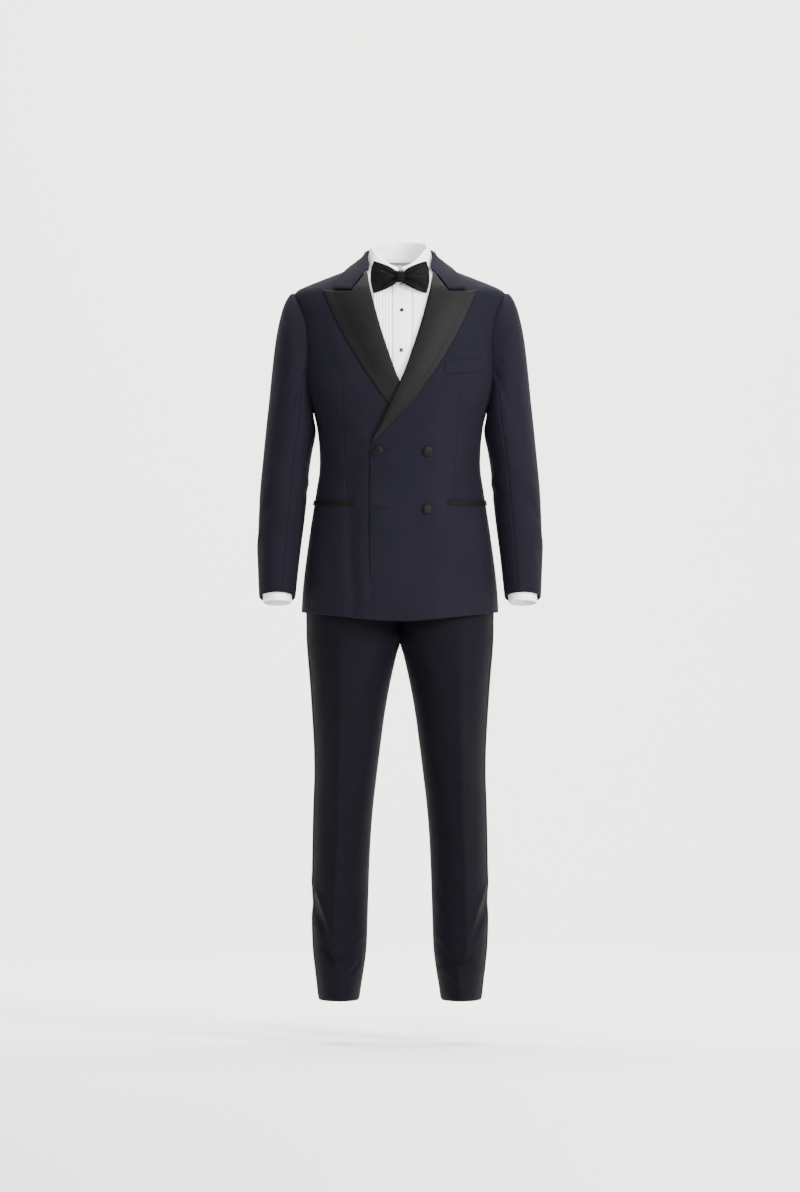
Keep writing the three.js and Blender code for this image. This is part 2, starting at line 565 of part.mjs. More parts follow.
for (const { name, side } of SIDES) {
  for (const [k, part] of ['front', 'back'].entries()) {
    const place = (i, j, out) => {
      const way = k ? 1 : -1;
      const along = i / TROUSER_COLUMNS;
      const across = k + along + way * SIDE_SEAM_GAP * (k ? 1 - along : along);
      const point = trouser(across, trouserZ(j), out);
      const atInseam = i === (k ? TROUSER_COLUMNS : 0) ? 1 : 0;
      const below = ease((CROTCH_Z + INSEAM_START - trouserZ(j)) / INSEAM_START);
      point.y += way * atInseam * below * (SEAM_GAP / 2);
      return mirrored(point, side);
    };
    const cloth = wall(TROUSER_COLUMNS, TROUSER_ROWS, place, TROUSER_CLOTH);
    piece(`trouser_${part}_${name}`, cloth, NAVY);
  }
}
const BAND_COLUMNS = 32;
const bandPlace = (i, j, out) => {
  const z = WAIST_Z - j * BAND_HEIGHT;
  return torso((i * 2 * Math.PI) / BAND_COLUMNS, z, out - HIP.inset).setZ(z);
};
piece('trouser_waistband', wall(BAND_COLUMNS, 1, bandPlace, TROUSER_CLOTH, true), NAVY);

// Side braid: a satin stripe over each side seam, from the waistband to the hem
const BRAID = { half: 9, thick: 1, rest: 0.4, hipGirth: 175, legGirth: 120, fade: 200 };
for (const { name, side } of SIDES) {
  const place = (i, j, out) => {
    const z = trouserZ(j);
    const girth = mix(BRAID.hipGirth, BRAID.legGirth, clamp((FORK_TOP_Z - z) / BRAID.fade));
    const across = 1 + ((i - 1) * BRAID.half) / girth;
    return mirrored(trouser(across, z, out + BRAID.rest + BRAID.thick), side);
  };
  piece(`side_braid_${name}`, wall(2, TROUSER_ROWS, place, BRAID.thick), SATIN_BLACK);
}

// Shirt: it follows the jacket from inside, and narrows at the waist to go into the trousers.
const SHIRT_IN = { chest: 8, waist: 12, fromZ: -370, fade: 55 };
const SHIRT_TAIL_Z = -590;
const SHIRT_SHOULDER_ROWS = 4;
const SHIRT_SKIRT_ROWS = 5;
const SHIRT_ROWS = SHIRT_SHOULDER_ROWS + ARM_STEPS / 2 + SHIRT_SKIRT_ROWS;
const SHIRT_TOP_Z = 4;
const shirtOut = (z) => -mix(SHIRT_IN.chest, SHIRT_IN.waist, ease((SHIRT_IN.fromZ - z) / SHIRT_IN.fade));
const NECK_SEAM = [
  { z: 4, x: 69 },
  { z: -10, x: 63 },
  { z: -24, x: 45 },
  { z: -31, x: 29 },
  { z: -37, x: 15 },
  { z: -41, x: 5 },
  { z: -60, x: 4.5 },
];
const neckX = through(NECK_SEAM, 'z', 'x');
function shirtZ(row) {
  if (row <= SHIRT_SHOULDER_ROWS) return mix(SHIRT_TOP_Z, SHOULDER_Z, row / SHIRT_SHOULDER_ROWS);
  const step = row - SHIRT_SHOULDER_ROWS;
  if (step <= ARM_STEPS / 2) return armZ(step);
  return mix(armZ(ARM_STEPS / 2), SHIRT_TAIL_Z, (step - ARM_STEPS / 2) / SHIRT_SKIRT_ROWS);
}
function shirtSide(row, way) {
  const step = Math.min(Math.max(row - SHIRT_SHOULDER_ROWS, 0), ARM_STEPS / 2);
  return step === 0 ? 0 : armAngle(way < 0 ? step : ARM_STEPS - step);
}
const FRONT_NECK_Z = -43;
const PLACKET_X = 4;
const shirt = (angle, z, out) => torso(angle, z, shirtOut(z) + out);
const SHIRT_COLUMNS = 5;
for (const { name, side } of SIDES) {
  const front = (i, j, out) => {
    const z = shirtZ(j);
    const middle = side * PLACKET_X + SEAM_GAP / 2;
    const inner = frontAngle(z > FRONT_NECK_Z ? neckX(z) : middle, z);
    const angle = mix(inner, shirtSide(j, -1) - gapAngle(z), i / SHIRT_COLUMNS);
    return mirrored(shirt(angle, z, out), side);
  };
  piece(`shirt_front_${name}`, wall(SHIRT_COLUMNS, SHIRT_ROWS, front, SHIRT_CLOTH), WHITE);
}
// Its back starts with a yoke, which runs in under the collar to the neck.
const BACK_SPAN = 8;
const YOKE_Z = 6;
const YOKE_OUT = 3.8;
const NECK = { half: 53.5, front: 61, back: 63 };
function neck(angle, z, out) {
  const depth = (Math.sin(angle) < 0 ? NECK.front : NECK.back) + out;
  return new THREE.Vector3((NECK.half + out) * Math.cos(angle), depth * Math.sin(angle), z);
}
const shirtBack = (i, j, out) => {
  const across = i / BACK_SPAN;
  if (j === 0) return neck(Math.PI * across, YOKE_Z + out, YOKE_OUT);
  const z = shirtZ(j - 1);
  const edge = shirtSide(j - 1, 1) + gapAngle(z);
  return shirt(mix(edge, Math.PI - edge, across), z, out);
};
piece('shirt_back', wall(BACK_SPAN, SHIRT_ROWS + 1, shirtBack, SHIRT_CLOTH), WHITE);

// Shirt bib: narrow tucks down each side of the placket
const TUCKS = 6;
const TUCK_WIDTH = 6;
const TUCK_CREST = 0.82;
const TUCK_RISE = 1;
const BIB_X = 21;
const BIB_ROWS = 8;
const STRIP_GAP = 1.2;
const bibOf = (side) => (i, j, out) => {
  const tuck = Math.floor(i / 2);
  const x = BIB_X + side * PLACKET_X + TUCK_WIDTH * (tuck + (i % 2) * TUCK_CREST);
  const z = armZ(j);
  const rise = out === 0 && i % 2 ? TUCK_RISE : 0;
  return mirrored(shirt(frontAngle(x, z), z, out + STRIP_GAP + SHIRT_CLOTH + rise), side);
};
for (const { name, side } of SIDES) {
  piece(`shirt_bib_${name}`, wall(TUCKS * 2, BIB_ROWS, bibOf(side), SHIRT_CLOTH), WHITE);
}
const PLACKET_HALF = 18;
const PLACKET_RISE = 1.2;
const PLACKET_TOP_Z = -46;
const placketPlace = (i, j, out) => {
  const x = PLACKET_X + (i / 2 - 1) * PLACKET_HALF;
  const z = j ? armZ(j) : PLACKET_TOP_Z;
  return shirt(frontAngle(x, z), z, out + STRIP_GAP + SHIRT_CLOTH + PLACKET_RISE);
};
piece('shirt_placket', wall(4, BIB_ROWS, placketPlace, SHIRT_CLOTH), WHITE);
const STUDS = [
  { name: 'stud_upper', x: 3.6, z: -98 },
  { name: 'stud_lower', x: 2.8, z: -179 },
];
const STUD = { radius: 4, thick: 2.6, rest: 0.4 };
for (const { name, x, z } of STUDS) {
  const foot = STRIP_GAP + SHIRT_CLOTH + PLACKET_RISE + STUD.rest;
  const seat = (out) => shirt(frontAngle(x, z), z, foot + out);
  button(name, STUD.radius, STUD.thick, seat, ONYX, 10);
}

// Shirt sleeves and cuffs: inside the jacket's sleeves, with the cuffs showing below them
const SHIRT_SLEEVE = [
  { row: 0, inset: 0 },
  { row: 1.5, inset: 22 },
  { row: 3.5, inset: 9 },
  { row: 6, inset: 6 },
  { row: 9, inset: 6 },
  { row: 11.35, inset: 6 },
];
const ARMHOLE_IN = 1.5;
const ARMHOLE_CLEAR = 1.6;
for (const { name, side } of SIDES) {
  const sleevePlace = (i, j, out) => {
    const { row, inset } = SHIRT_SLEEVE[j];
    const point = sleeve(armTurn(i), row, out - inset);
    if (j > 0) return mirrored(point, side);
    const armhole = shirt(armAngle(i), armZ(i), out);
    const inward = new THREE.Vector3(0, Math.sin(armTurn(i)), -Math.cos(armTurn(i)));
    armhole.addScaledVector(inward, ARMHOLE_IN).setX(armhole.x + ARMHOLE_CLEAR);
    return mirrored(armhole, side);
  };
  const rows = SHIRT_SLEEVE.length - 1;
  piece(`shirt_sleeve_${name}`, wall(ARM_STEPS, rows, sleevePlace, SHIRT_CLOTH, true), WHITE);
}
const CUFF = [
  { z: -634, half: 31, deep: 45.3, x: 243.9, y: -27.4 },
  { z: -658, half: 29.6, deep: 43, x: 244.8, y: -30.8 },
  { z: -682, half: 28.5, deep: 41.5, x: 245.5, y: -33 },
];
const CUFF_TILT = 6;
const CUFF_CLOTH = SHIRT_CLOTH * 1.5;
for (const { name, side } of SIDES) {
  const cuffPlace = (i, j, out) => {
    const { z, half, deep, x, y } = CUFF[j];
    const [cos, sin] = [Math.cos(armTurn(i)), Math.sin(armTurn(i))];
    const point = new THREE.Vector3(x + (half + out) * cos, y - (deep + out) * sin, z + CUFF_TILT * sin);
    return mirrored(point, side);
  };
  piece(`shirt_cuff_${name}`, wall(ARM_STEPS, CUFF.length - 1, cuffPlace, CUFF_CLOTH, true), WHITE);
}

// Shirt collar: a stand round the neck with its leaf folded down outside it
const SHIRT_COLLAR = [
  { at: 0, topTurn: 90, topZ: 46, edgeTurn: 90, edgeZ: 14, inset: -9.5, foot: 4 },
  { at: 0.3, topTurn: 50, topZ: 44, edgeTurn: 50, edgeZ: 13, inset: -9.5, foot: 3 },
  { at: 0.58, topTurn: 0, topZ: 34, edgeTurn: 0, edgeZ: 10, inset: -11, foot: 0 },
  { at: 0.68, topTurn: -16, topZ: 26, edgeTurn: -23, edgeZ: 3, inset: -14, foot: -5 },
  { at: 0.78, topTurn: -34, topZ: 17, edgeTurn: -43, edgeZ: -14, inset: -4, foot: -16 },
  { at: 0.92, topTurn: -64, topZ: -4, edgeTurn: -55, edgeZ: -40, inset: -3.5, foot: -26 },
  { at: 1, topTurn: -88, topZ: -15, edgeTurn: -64, edgeZ: -60, inset: -3.5, foot: -32 },
];
const shirtCollarOf = (column) => through(SHIRT_COLLAR, 'at', column);
const [topTurn, topZ, edgeTurn] = ['topTurn', 'topZ', 'edgeTurn'].map(shirtCollarOf);
const [edgeZ, edgeInset, footZ] = ['edgeZ', 'inset', 'foot'].map(shirtCollarOf);
const NECK_STEPS = 10;
const LEAF_STEPS = 3;
const LEAF_OUT = 5;
const TURN_RISE = 2;
const STAND_DROP = 4;
const STAND_STEPS_DOWN = 2;
const shirtCollarPoint = (i, j, out) => {
  const at = Math.abs(i - NECK_STEPS) / NECK_STEPS;
  const side = i < NECK_STEPS ? 1 : -1;
  if (j <= LEAF_STEPS) {
    const down = 1 - j / (LEAF_STEPS + 1);
    const edge = torso(degrees(edgeTurn(at)), edgeZ(at), edgeInset(at));
    const point = neck(degrees(topTurn(at)), topZ(at), LEAF_OUT).lerp(edge, down);
    const outward = new THREE.Vector3(point.x, point.y, 0).normalize();
    return mirrored(point.addScaledVector(outward, out), side);
  }
  if (j === LEAF_STEPS + 1) {
    return mirrored(neck(degrees(topTurn(at)), topZ(at) + TURN_RISE + out, LEAF_OUT / 2), side);
  }
  const down = (j - LEAF_STEPS - 2) / STAND_STEPS_DOWN;
  const z = mix(topZ(at) - STAND_DROP, footZ(at), down);
  return mirrored(neck(degrees(topTurn(at)), z, -SHIRT_CLOTH - out), side);
};
const shirtCollarRows = LEAF_STEPS + STAND_STEPS_DOWN + 2;
piece('shirt_collar', wall(2 * NECK_STEPS, shirtCollarRows, shirtCollarPoint, SHIRT_CLOTH), WHITE);

// Bow tie: a band round the stand under the leaf, two pleated wings and the knot that gathers them
const TIE_Z = -33;
const TIE_Y = -98;
const WING = { innerX: 10.4, outerX: 52.5, innerHalf: 11, outerHalf: 32.6, spread: 0.58, layers: 5 };
const WING_FORM = { back: 4, backPower: 1.6, bulge: 6.5, puff: 5, puffStart: 0.12, pleat: 1.6, pleats: 2.5 };
const WING_COLUMNS = 6;
const WING_ROWS = 8;
for (const { name, side } of SIDES) {
  const place = (i, j, out) => {
    const across = i / WING_COLUMNS;
    const up = 1 - (2 * j) / WING_ROWS;
    const half = mix(WING.innerHalf, WING.outerHalf, across ** WING.spread);
    const x = mix(WING.innerX, WING.outerX, across) + WING_FORM.bulge * across * (1 - up * up);
    const pleat = WING_FORM.pleat * Math.cos(up * Math.PI * WING_FORM.pleats) * (1 - across);
    const crown = Math.sin(Math.PI * Math.min(1, across + WING_FORM.puffStart));
    const puff = WING_FORM.puff * crown * (1 - up * up * 0.8);
    const y = TIE_Y + WING_FORM.back * across ** WING_FORM.backPower - puff - pleat;
    return mirrored(new THREE.Vector3(x, out < 0 ? y + WING.layers : y, TIE_Z + half * up), side);
  };
  piece(`bow_wing_${name}`, wall(WING_COLUMNS, WING_ROWS, place, SATIN), SATIN_BLACK);
}
const KNOT = { x: 0.5, deep: 1.1, sides: 14 };
const KNOT_PROFILE = [
  { radius: 0, z: -10.8 },
  { radius: 7.2, z: -10.4 },
  { radius: 9, z: -7 },
  { radius: 9.6, z: 0 },
  { radius: 9, z: 7 },
  { radius: 7.2, z: 10.4 },
  { radius: 0, z: 10.8 },
];
const knotOutline = KNOT_PROFILE.map((p) => new THREE.Vector2(p.radius, p.z));
const knotShape = new THREE.LatheGeometry(knotOutline, KNOT.sides).rotateX(Math.PI / 2);
knotShape.scale(1, KNOT.deep, 1);
piece('bow_knot', knotShape, SATIN_BLACK).position.set(KNOT.x, TIE_Y, TIE_Z);
const BAND = { steps: 24, frontZ: -30, backZ: 36, rise: 0.8, height: 9, out: 2.4, thick: 0.8 };
const bandTie = (i, j, out) => {
  const turn = (i * 2 * Math.PI) / BAND.steps;
  const z = mix(BAND.frontZ, BAND.backZ, ((Math.sin(turn) + 1) / 2) ** BAND.rise) - j * BAND.height;
  return neck(turn, z, BAND.out + out);
};
piece('bow_band', wall(BAND.steps, 1, bandTie, BAND.thick, true), SATIN_BLACK);
export default suit;
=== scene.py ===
import math

import bmesh
import bpy
import numpy as np
from mathutils import Matrix, Vector


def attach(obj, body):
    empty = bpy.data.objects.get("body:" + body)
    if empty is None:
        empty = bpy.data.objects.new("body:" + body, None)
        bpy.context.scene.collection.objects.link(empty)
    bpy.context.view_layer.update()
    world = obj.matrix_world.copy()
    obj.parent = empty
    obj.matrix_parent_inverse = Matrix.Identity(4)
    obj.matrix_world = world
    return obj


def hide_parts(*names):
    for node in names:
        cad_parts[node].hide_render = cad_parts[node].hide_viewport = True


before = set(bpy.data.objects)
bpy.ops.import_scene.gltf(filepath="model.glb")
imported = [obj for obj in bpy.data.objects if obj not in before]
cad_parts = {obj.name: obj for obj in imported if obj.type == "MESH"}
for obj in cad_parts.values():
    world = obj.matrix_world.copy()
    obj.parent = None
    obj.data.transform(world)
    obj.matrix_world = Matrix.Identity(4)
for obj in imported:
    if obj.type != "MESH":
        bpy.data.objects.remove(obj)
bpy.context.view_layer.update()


# Room: a pale studio cove, one sweep of paper from the floor up the wall behind the suit. It is
# bent from one sheet by turning the floor's back edge through a quarter circle.
FLOOR_Z = -1.565
FLOOR_HALF = 7.0
COVE_Y = 3.2
COVE_RADIUS = 2.2
WALL_HEIGHT = 6.0
PAPER = (0.93, 0.905, 0.87)


class Wire:
    """A shader socket that does arithmetic: an expression on it adds its Math nodes."""

    def __init__(self, finish, socket):
        self.finish, self.socket = finish, socket

    def math(self, operation, *others):
        inputs = {0: self}
        inputs.update({i + 1: other for i, other in enumerate(others)})
        return self.finish.node("ShaderNodeMath", {"operation": operation}, inputs)

    def __add__(self, other):
        return self.math("ADD", other)

    __radd__ = __add__

    def __sub__(self, other):
        return self.math("SUBTRACT", other)

    def __rsub__(self, other):
        return (self * -1.0) + other

    def __mul__(self, other):
        return self.math("MULTIPLY", other)

    __rmul__ = __mul__


class Finish:
    """One material, whose shader sockets take plain values or wires."""

    def __init__(self, name, **sockets):
        self.material = bpy.data.materials.new(name)
        self.material.use_nodes = True
        self.tree = self.material.node_tree
        self.shader = self.tree.nodes["Principled BSDF"]
        for socket, value in sockets.items():
            self.set(socket.replace("_", " ").title().replace("Ior", "IOR"), value)

    def set(self, socket, value):
        target = self.shader.inputs[socket]
        if isinstance(value, Wire):
            self.tree.links.new(value.socket, target)
        else:
            target.default_value = value

    def node(self, kind, settings=None, inputs=None, output=0):
        made = self.tree.nodes.new(kind)
        for key, value in (settings or {}).items():
            setattr(made, key, value)
        for key, value in (inputs or {}).items():
            if isinstance(value, Wire):
                self.tree.links.new(value.socket, made.inputs[key])
            else:
                made.inputs[key].default_value = value
        return Wire(self, made.outputs[output])

    def place(self, kind="Object"):
        """The wires of x, y and z of the Object coordinates or of the UV map."""
        point = self.node("ShaderNodeTexCoord", output=kind)
        return [self.node("ShaderNodeSeparateXYZ", inputs={0: point}, output=i) for i in range(3)]

    def noise(self, kind, scale, detail=2.0):
        point = self.node("ShaderNodeTexCoord", output=kind)
        return self.node("ShaderNodeTexNoise", inputs={"Vector": point, "Scale": scale, "Detail": detail})

    def blend(self, share, dark, light):
        settings = {"data_type": "RGBA"}
        return self.node("ShaderNodeMix", settings, {0: share, 6: (*dark, 1), 7: (*light, 1)}, output=2)

    def bump(self, height, distance, strength=1.0):
        inputs = {"Height": height, "Distance": distance, "Strength": strength}
        self.set("Normal", self.node("ShaderNodeBump", inputs=inputs))


def made(name, bm, finish, smooth=True):
    mesh = bpy.data.meshes.new(name)
    bm.to_mesh(mesh)
    bm.free()
    mesh.materials.append(finish.material)
    if smooth:
        mesh.shade_smooth()
    piece = bpy.data.objects.new(name, mesh)
    bpy.context.scene.collection.objects.link(piece)
    return piece


paper = Finish("studio_paper", base_color=(*PAPER, 1), roughness=0.9)
paper.set("Base Color", paper.blend(paper.noise("Object", 0.7), [c * 0.985 for c in PAPER], PAPER))
sweep = bmesh.new()
bmesh.ops.create_grid(sweep, x_segments=1, y_segments=1, size=FLOOR_HALF)
bmesh.ops.translate(sweep, verts=sweep.verts, vec=(0, COVE_Y - FLOOR_HALF, FLOOR_Z))
far_edge = [e for e in sweep.edges if all(v.co.y > COVE_Y - 0.01 for v in e.verts)]
turned = bmesh.ops.spin(
    sweep,
    geom=far_edge,
    cent=(0, COVE_Y, FLOOR_Z + COVE_RADIUS),
    axis=(1, 0, 0),
    angle=math.radians(90),
    steps=16,
)
top_edge = [g for g in turned["geom_last"] if isinstance(g, bmesh.types.BMEdge)]
raised = bmesh.ops.extrude_edge_only(sweep, edges=top_edge)
raised = [g for g in raised["geom"] if isinstance(g, bmesh.types.BMVert)]
bmesh.ops.translate(sweep, verts=raised, vec=(0, 0, WALL_HEIGHT))
bmesh.ops.recalc_face_normals(sweep, faces=sweep.faces)
made("studio_sweep", sweep, paper)

# Camera: level, at the middle of the standing suit, far off as for a catalogue picture.
CAMERA_Y = -11.5
FRAME_HEIGHT = 2.384
FRAME_MIDDLE = (0, -0.668)
FRAME_PLANE_Y = -0.04
SENSOR = 36.0
lens = bpy.data.cameras.new("camera")
lens.sensor_fit = "VERTICAL"
lens.sensor_height = SENSOR
lens.lens = SENSOR * (FRAME_PLANE_Y - CAMERA_Y) / FRAME_HEIGHT
camera = bpy.data.objects.new("camera", lens)
camera.location = (FRAME_MIDDLE[0], CAMERA_Y, FRAME_MIDDLE[1])
camera.rotation_euler = (math.radians(90), 0, 0)
bpy.context.scene.collection.objects.link(camera)
bpy.context.scene.camera = camera

# Light: a large soft key from the viewer's right and above, a weaker fill from the left, a band of
# light from above that draws the shoulders, and a pale room.
LIGHTS = [
    # name, place, aim, width, height, power
    ("key", (3.2, -3.2, 1.2), (0, 0, -0.5), 1.4, 2.2, 465),
    ("fill", (-3.4, -3.4, 0.4), (0, 0, -0.7), 2.4, 2.4, 32),
    ("front", (0.9, -5.2, 1.0), (0, 0, -0.6), 1.6, 1.2, 215),
    ("top", (0.3, -0.6, 3.0), (0, -0.4, -1.5), 2.6, 2.0, 185),
    ("wall", (0, 1.2, 2.6), (0, 4.6, -0.9), 6.0, 2.0, 670),
]
for name, spot, aim, width, height, power in LIGHTS:
    lamp = bpy.data.lights.new(name, "AREA")
    lamp.shape = "RECTANGLE"
    lamp.size, lamp.size_y, lamp.energy = width, height, power
    light = bpy.data.objects.new(name, lamp)
    facing = (Vector(aim) - Vector(spot)).to_track_quat("-Z", "Y").to_matrix().to_4x4()
    light.matrix_world = Matrix.Translation(spot) @ facing
    bpy.context.scene.collection.objects.link(light)
world = bpy.data.worlds.new("room")
world.use_nodes = True
world.node_tree.nodes["Background"].inputs["Color"].default_value = (0.95, 0.96, 1.0, 1)
world.node_tree.nodes["Background"].inputs["Strength"].default_value = 0.62
bpy.context.scene.world = world


# Jacket body: fine navy wool over canvas, cut as fronts, side bodies and backs. It is shaped by
# level sections, in millimetres, from the collar's roll down to the hem.
MM = 0.001
JACKET_CLOTH = 2.0
SEAM_GAP = -0.3
EDGE_DIP = 0.8
EDGE_SOFT = 0.0018
EDGE_CROWD = 0.6
NARROWEST_CUT = 0.01


def table(columns, rows):
    return dict(zip(columns.split(), np.array(rows, float).T))


def through(rows, key, column):
    """A smooth curve through one column of a table."""
    order = np.argsort(rows[key])
    x, y = rows[key][order], rows[column][order]
    last = len(x) - 1
    after, before = np.minimum(np.arange(last + 1) + 1, last), np.maximum(np.arange(last + 1) - 1, 0)
    slope = (y[after] - y[before]) / (x[after] - x[before])

    def curve(at):
        at = np.clip(at, x[0], x[-1])
        i = np.clip(np.searchsorted(x, at) - 1, 0, last - 1)
        span = x[i + 1] - x[i]
        s = (at - x[i]) / span
        rise = (s**3 - 2 * s**2 + s) * span * slope[i] + (s**3 - s**2) * span * slope[i + 1]
        return (2 * s**3 - 3 * s**2 + 1) * y[i] + (3 * s**2 - 2 * s**3) * y[i + 1] + rise

    return curve


def mix(start, end, share):
    return start + (end - start) * share


def ease(share):
    share = np.clip(share, 0, 1)
    return share * share * (3 - 2 * share)


def stack(x, y, z):
    return np.stack(np.broadcast_arrays(x, y, z), axis=-1).astype(float)


def face(surface, first, second, out, step):
    """A surface's points moved out along its normal."""
    across = surface(first + step[0], second) - surface(first - step[0], second)
    along = surface(first, second + step[1]) - surface(first, second - step[1])
    normal = np.cross(across, along)
    normal /= np.maximum(np.linalg.norm(normal, axis=-1, keepdims=True), 1e-9)
    return surface(first, second) + normal * np.asarray(out)[..., None]


TORSO = table(
    "z half front back power",
    [
        (44, 66, 40, 79, 2),
        (26, 70, 42, 82, 2),
        (10, 75, 48, 85, 2),
        (-6, 92, 58, 89, 2.05),
        (-16, 110, 65, 92, 2.1),
        (-26, 135.5, 72, 95, 2.15),
        (-36, 161, 79, 98, 2.2),
        (-46, 186, 85, 101, 2.25),
        (-54, 203, 90, 103, 2.3),
        (-62, 211, 94, 105, 2.3),
        (-74, 212, 99, 107.5, 2.35),
        (-90, 210, 105, 110.5, 2.4),
        (-112, 207, 111, 114, 2.4),
        (-164, 205, 122, 119, 2.4),
        (-220, 200, 130, 119, 2.4),
        (-272, 186, 133, 114, 2.4),
        (-300, 174, 132, 110, 2.4),
        (-336, 165, 129, 103, 2.35),
        (-376, 160.5, 125, 96, 2.3),
        (-416, 161, 122, 93, 2.3),
        (-456, 168, 121, 97, 2.3),
        (-496, 175, 122, 105, 2.3),
        (-536, 181, 124, 113, 2.3),
        (-596, 188, 127, 121, 2.3),
        (-656, 194, 130, 124, 2.3),
        (-724, 199, 132, 124, 2.3),
    ],
)
torso_half, torso_front, torso_back, torso_power = (
    through(TORSO, "z", column) for column in ("half", "front", "back", "power")
)


def on_section(angle, z):
    power, turn = torso_power(z), np.stack(np.broadcast_arrays(np.cos(angle), np.sin(angle)))
    depth = np.where(turn[1] < 0, torso_front(z), torso_back(z))
    reach = (np.abs(turn[0]) / torso_half(z)) ** power + (np.abs(turn[1]) / depth) ** power
    reach = reach ** (-1 / power)
    return stack(reach * turn[0], reach * turn[1], z)


def torso(angle, z, out):
    """A torso point: the angle is -90 degrees in front, 0 at the wearer's left and 90 behind."""
    return face(on_section, angle, z, out, (0.01, 1.0))


def round_off(value, whole, power):
    return (1 - np.minimum(1, np.abs(value / whole)) ** power) ** (1 / power)


def front_angle(x, z):
    return np.arctan2(-torso_front(z) * round_off(x, torso_half(z), torso_power(z)), x)


def depth_angle(y, z):
    depth = np.where(y < 0, torso_front(z), torso_back(z))
    return np.arctan2(y, torso_half(z) * round_off(y, depth, torso_power(z)))


# Armhole: an oval, from the shoulder tip forward under the arm and up the back.
ARM_STEPS = 20
ARM_MIDDLE_Z = -180
ARM_REACH_Z = 120
ARM_REACH_Y = 66
JOIN_STEP = 8
NECKLINE_Z = 10
SHOULDER_Z = -60
JACKET_HEM_Z = -701
JACKET_HEM_DROP = 17
SHOULDER_SHARE = 0.14
ARM_SHARE = 0.32
SIDE_SEAM_FRONT = math.radians(-19)
SIDE_SEAM_BACK = math.radians(22)


def arm_turn(step):
    return step * 2 * math.pi / ARM_STEPS


def arm_z(step):
    return ARM_MIDDLE_Z + ARM_REACH_Z * np.cos(arm_turn(step))


def arm_angle(step):
    return depth_angle(-ARM_REACH_Y * np.sin(arm_turn(step)), arm_z(step))


def hem_z(angle):
    return JACKET_HEM_Z - JACKET_HEM_DROP * np.maximum(0, -np.sin(angle)) ** 2


def body_step(down):
    return np.clip((down - SHOULDER_SHARE) / ARM_SHARE, 0, 1) * JOIN_STEP


def skirt_share(down):
    return np.clip((down - SHOULDER_SHARE - ARM_SHARE) / (1 - SHOULDER_SHARE - ARM_SHARE), 0, 1)


def body_z(down, angle):
    shoulder = mix(NECKLINE_Z, SHOULDER_Z, down / SHOULDER_SHARE)
    skirt = mix(arm_z(JOIN_STEP), hem_z(angle), skirt_share(down))
    bands = [down < SHOULDER_SHARE, down < SHOULDER_SHARE + ARM_SHARE]
    return np.select(bands, [shoulder, arm_z(body_step(down))], skirt)


def outer_angle(down, way):
    """A body panel's outer edge: the shoulder seam, the armhole, then the side seam."""
    step = body_step(down)
    edge = arm_angle(step if way < 0 else ARM_STEPS - step)
    seam = mix(edge, SIDE_SEAM_FRONT if way < 0 else SIDE_SEAM_BACK, skirt_share(down))
    return np.where(down <= SHOULDER_SHARE, 0, seam) + way * SEAM_GAP / 2 / torso_half(body_z(down, 0))


def creases(rows, across, up):
    """The sum of soft folds: each row is a line with its place, lean, half length, width and depth.
    The fold's flank is steeper on one side, and its line wavers."""
    total = np.zeros(np.broadcast(across, up).shape)
    for s, t, lean, half, width, depth in rows:
        cos, sin = math.cos(math.radians(lean)), math.sin(math.radians(lean))
        along = ((across - s) * cos + (up - t) * sin) / half
        aside = (-(across - s) * sin + (up - t) * cos) / width
        aside = aside + 0.35 * np.sin(along * 2.3 + s) * (1 - 0.3 * along)
        flank = np.where(aside > 0, 1.0, 1.5)
        total += depth * np.exp(-((aside * flank) ** 2)) * np.exp(-(np.abs(along) ** 2.6))
    return total


def crowded(share):
    """Grid lines drawn toward both edges of a cut, where the cloth turns in."""
    return share - EDGE_CROWD * np.sin(2 * math.pi * share) / (2 * math.pi)


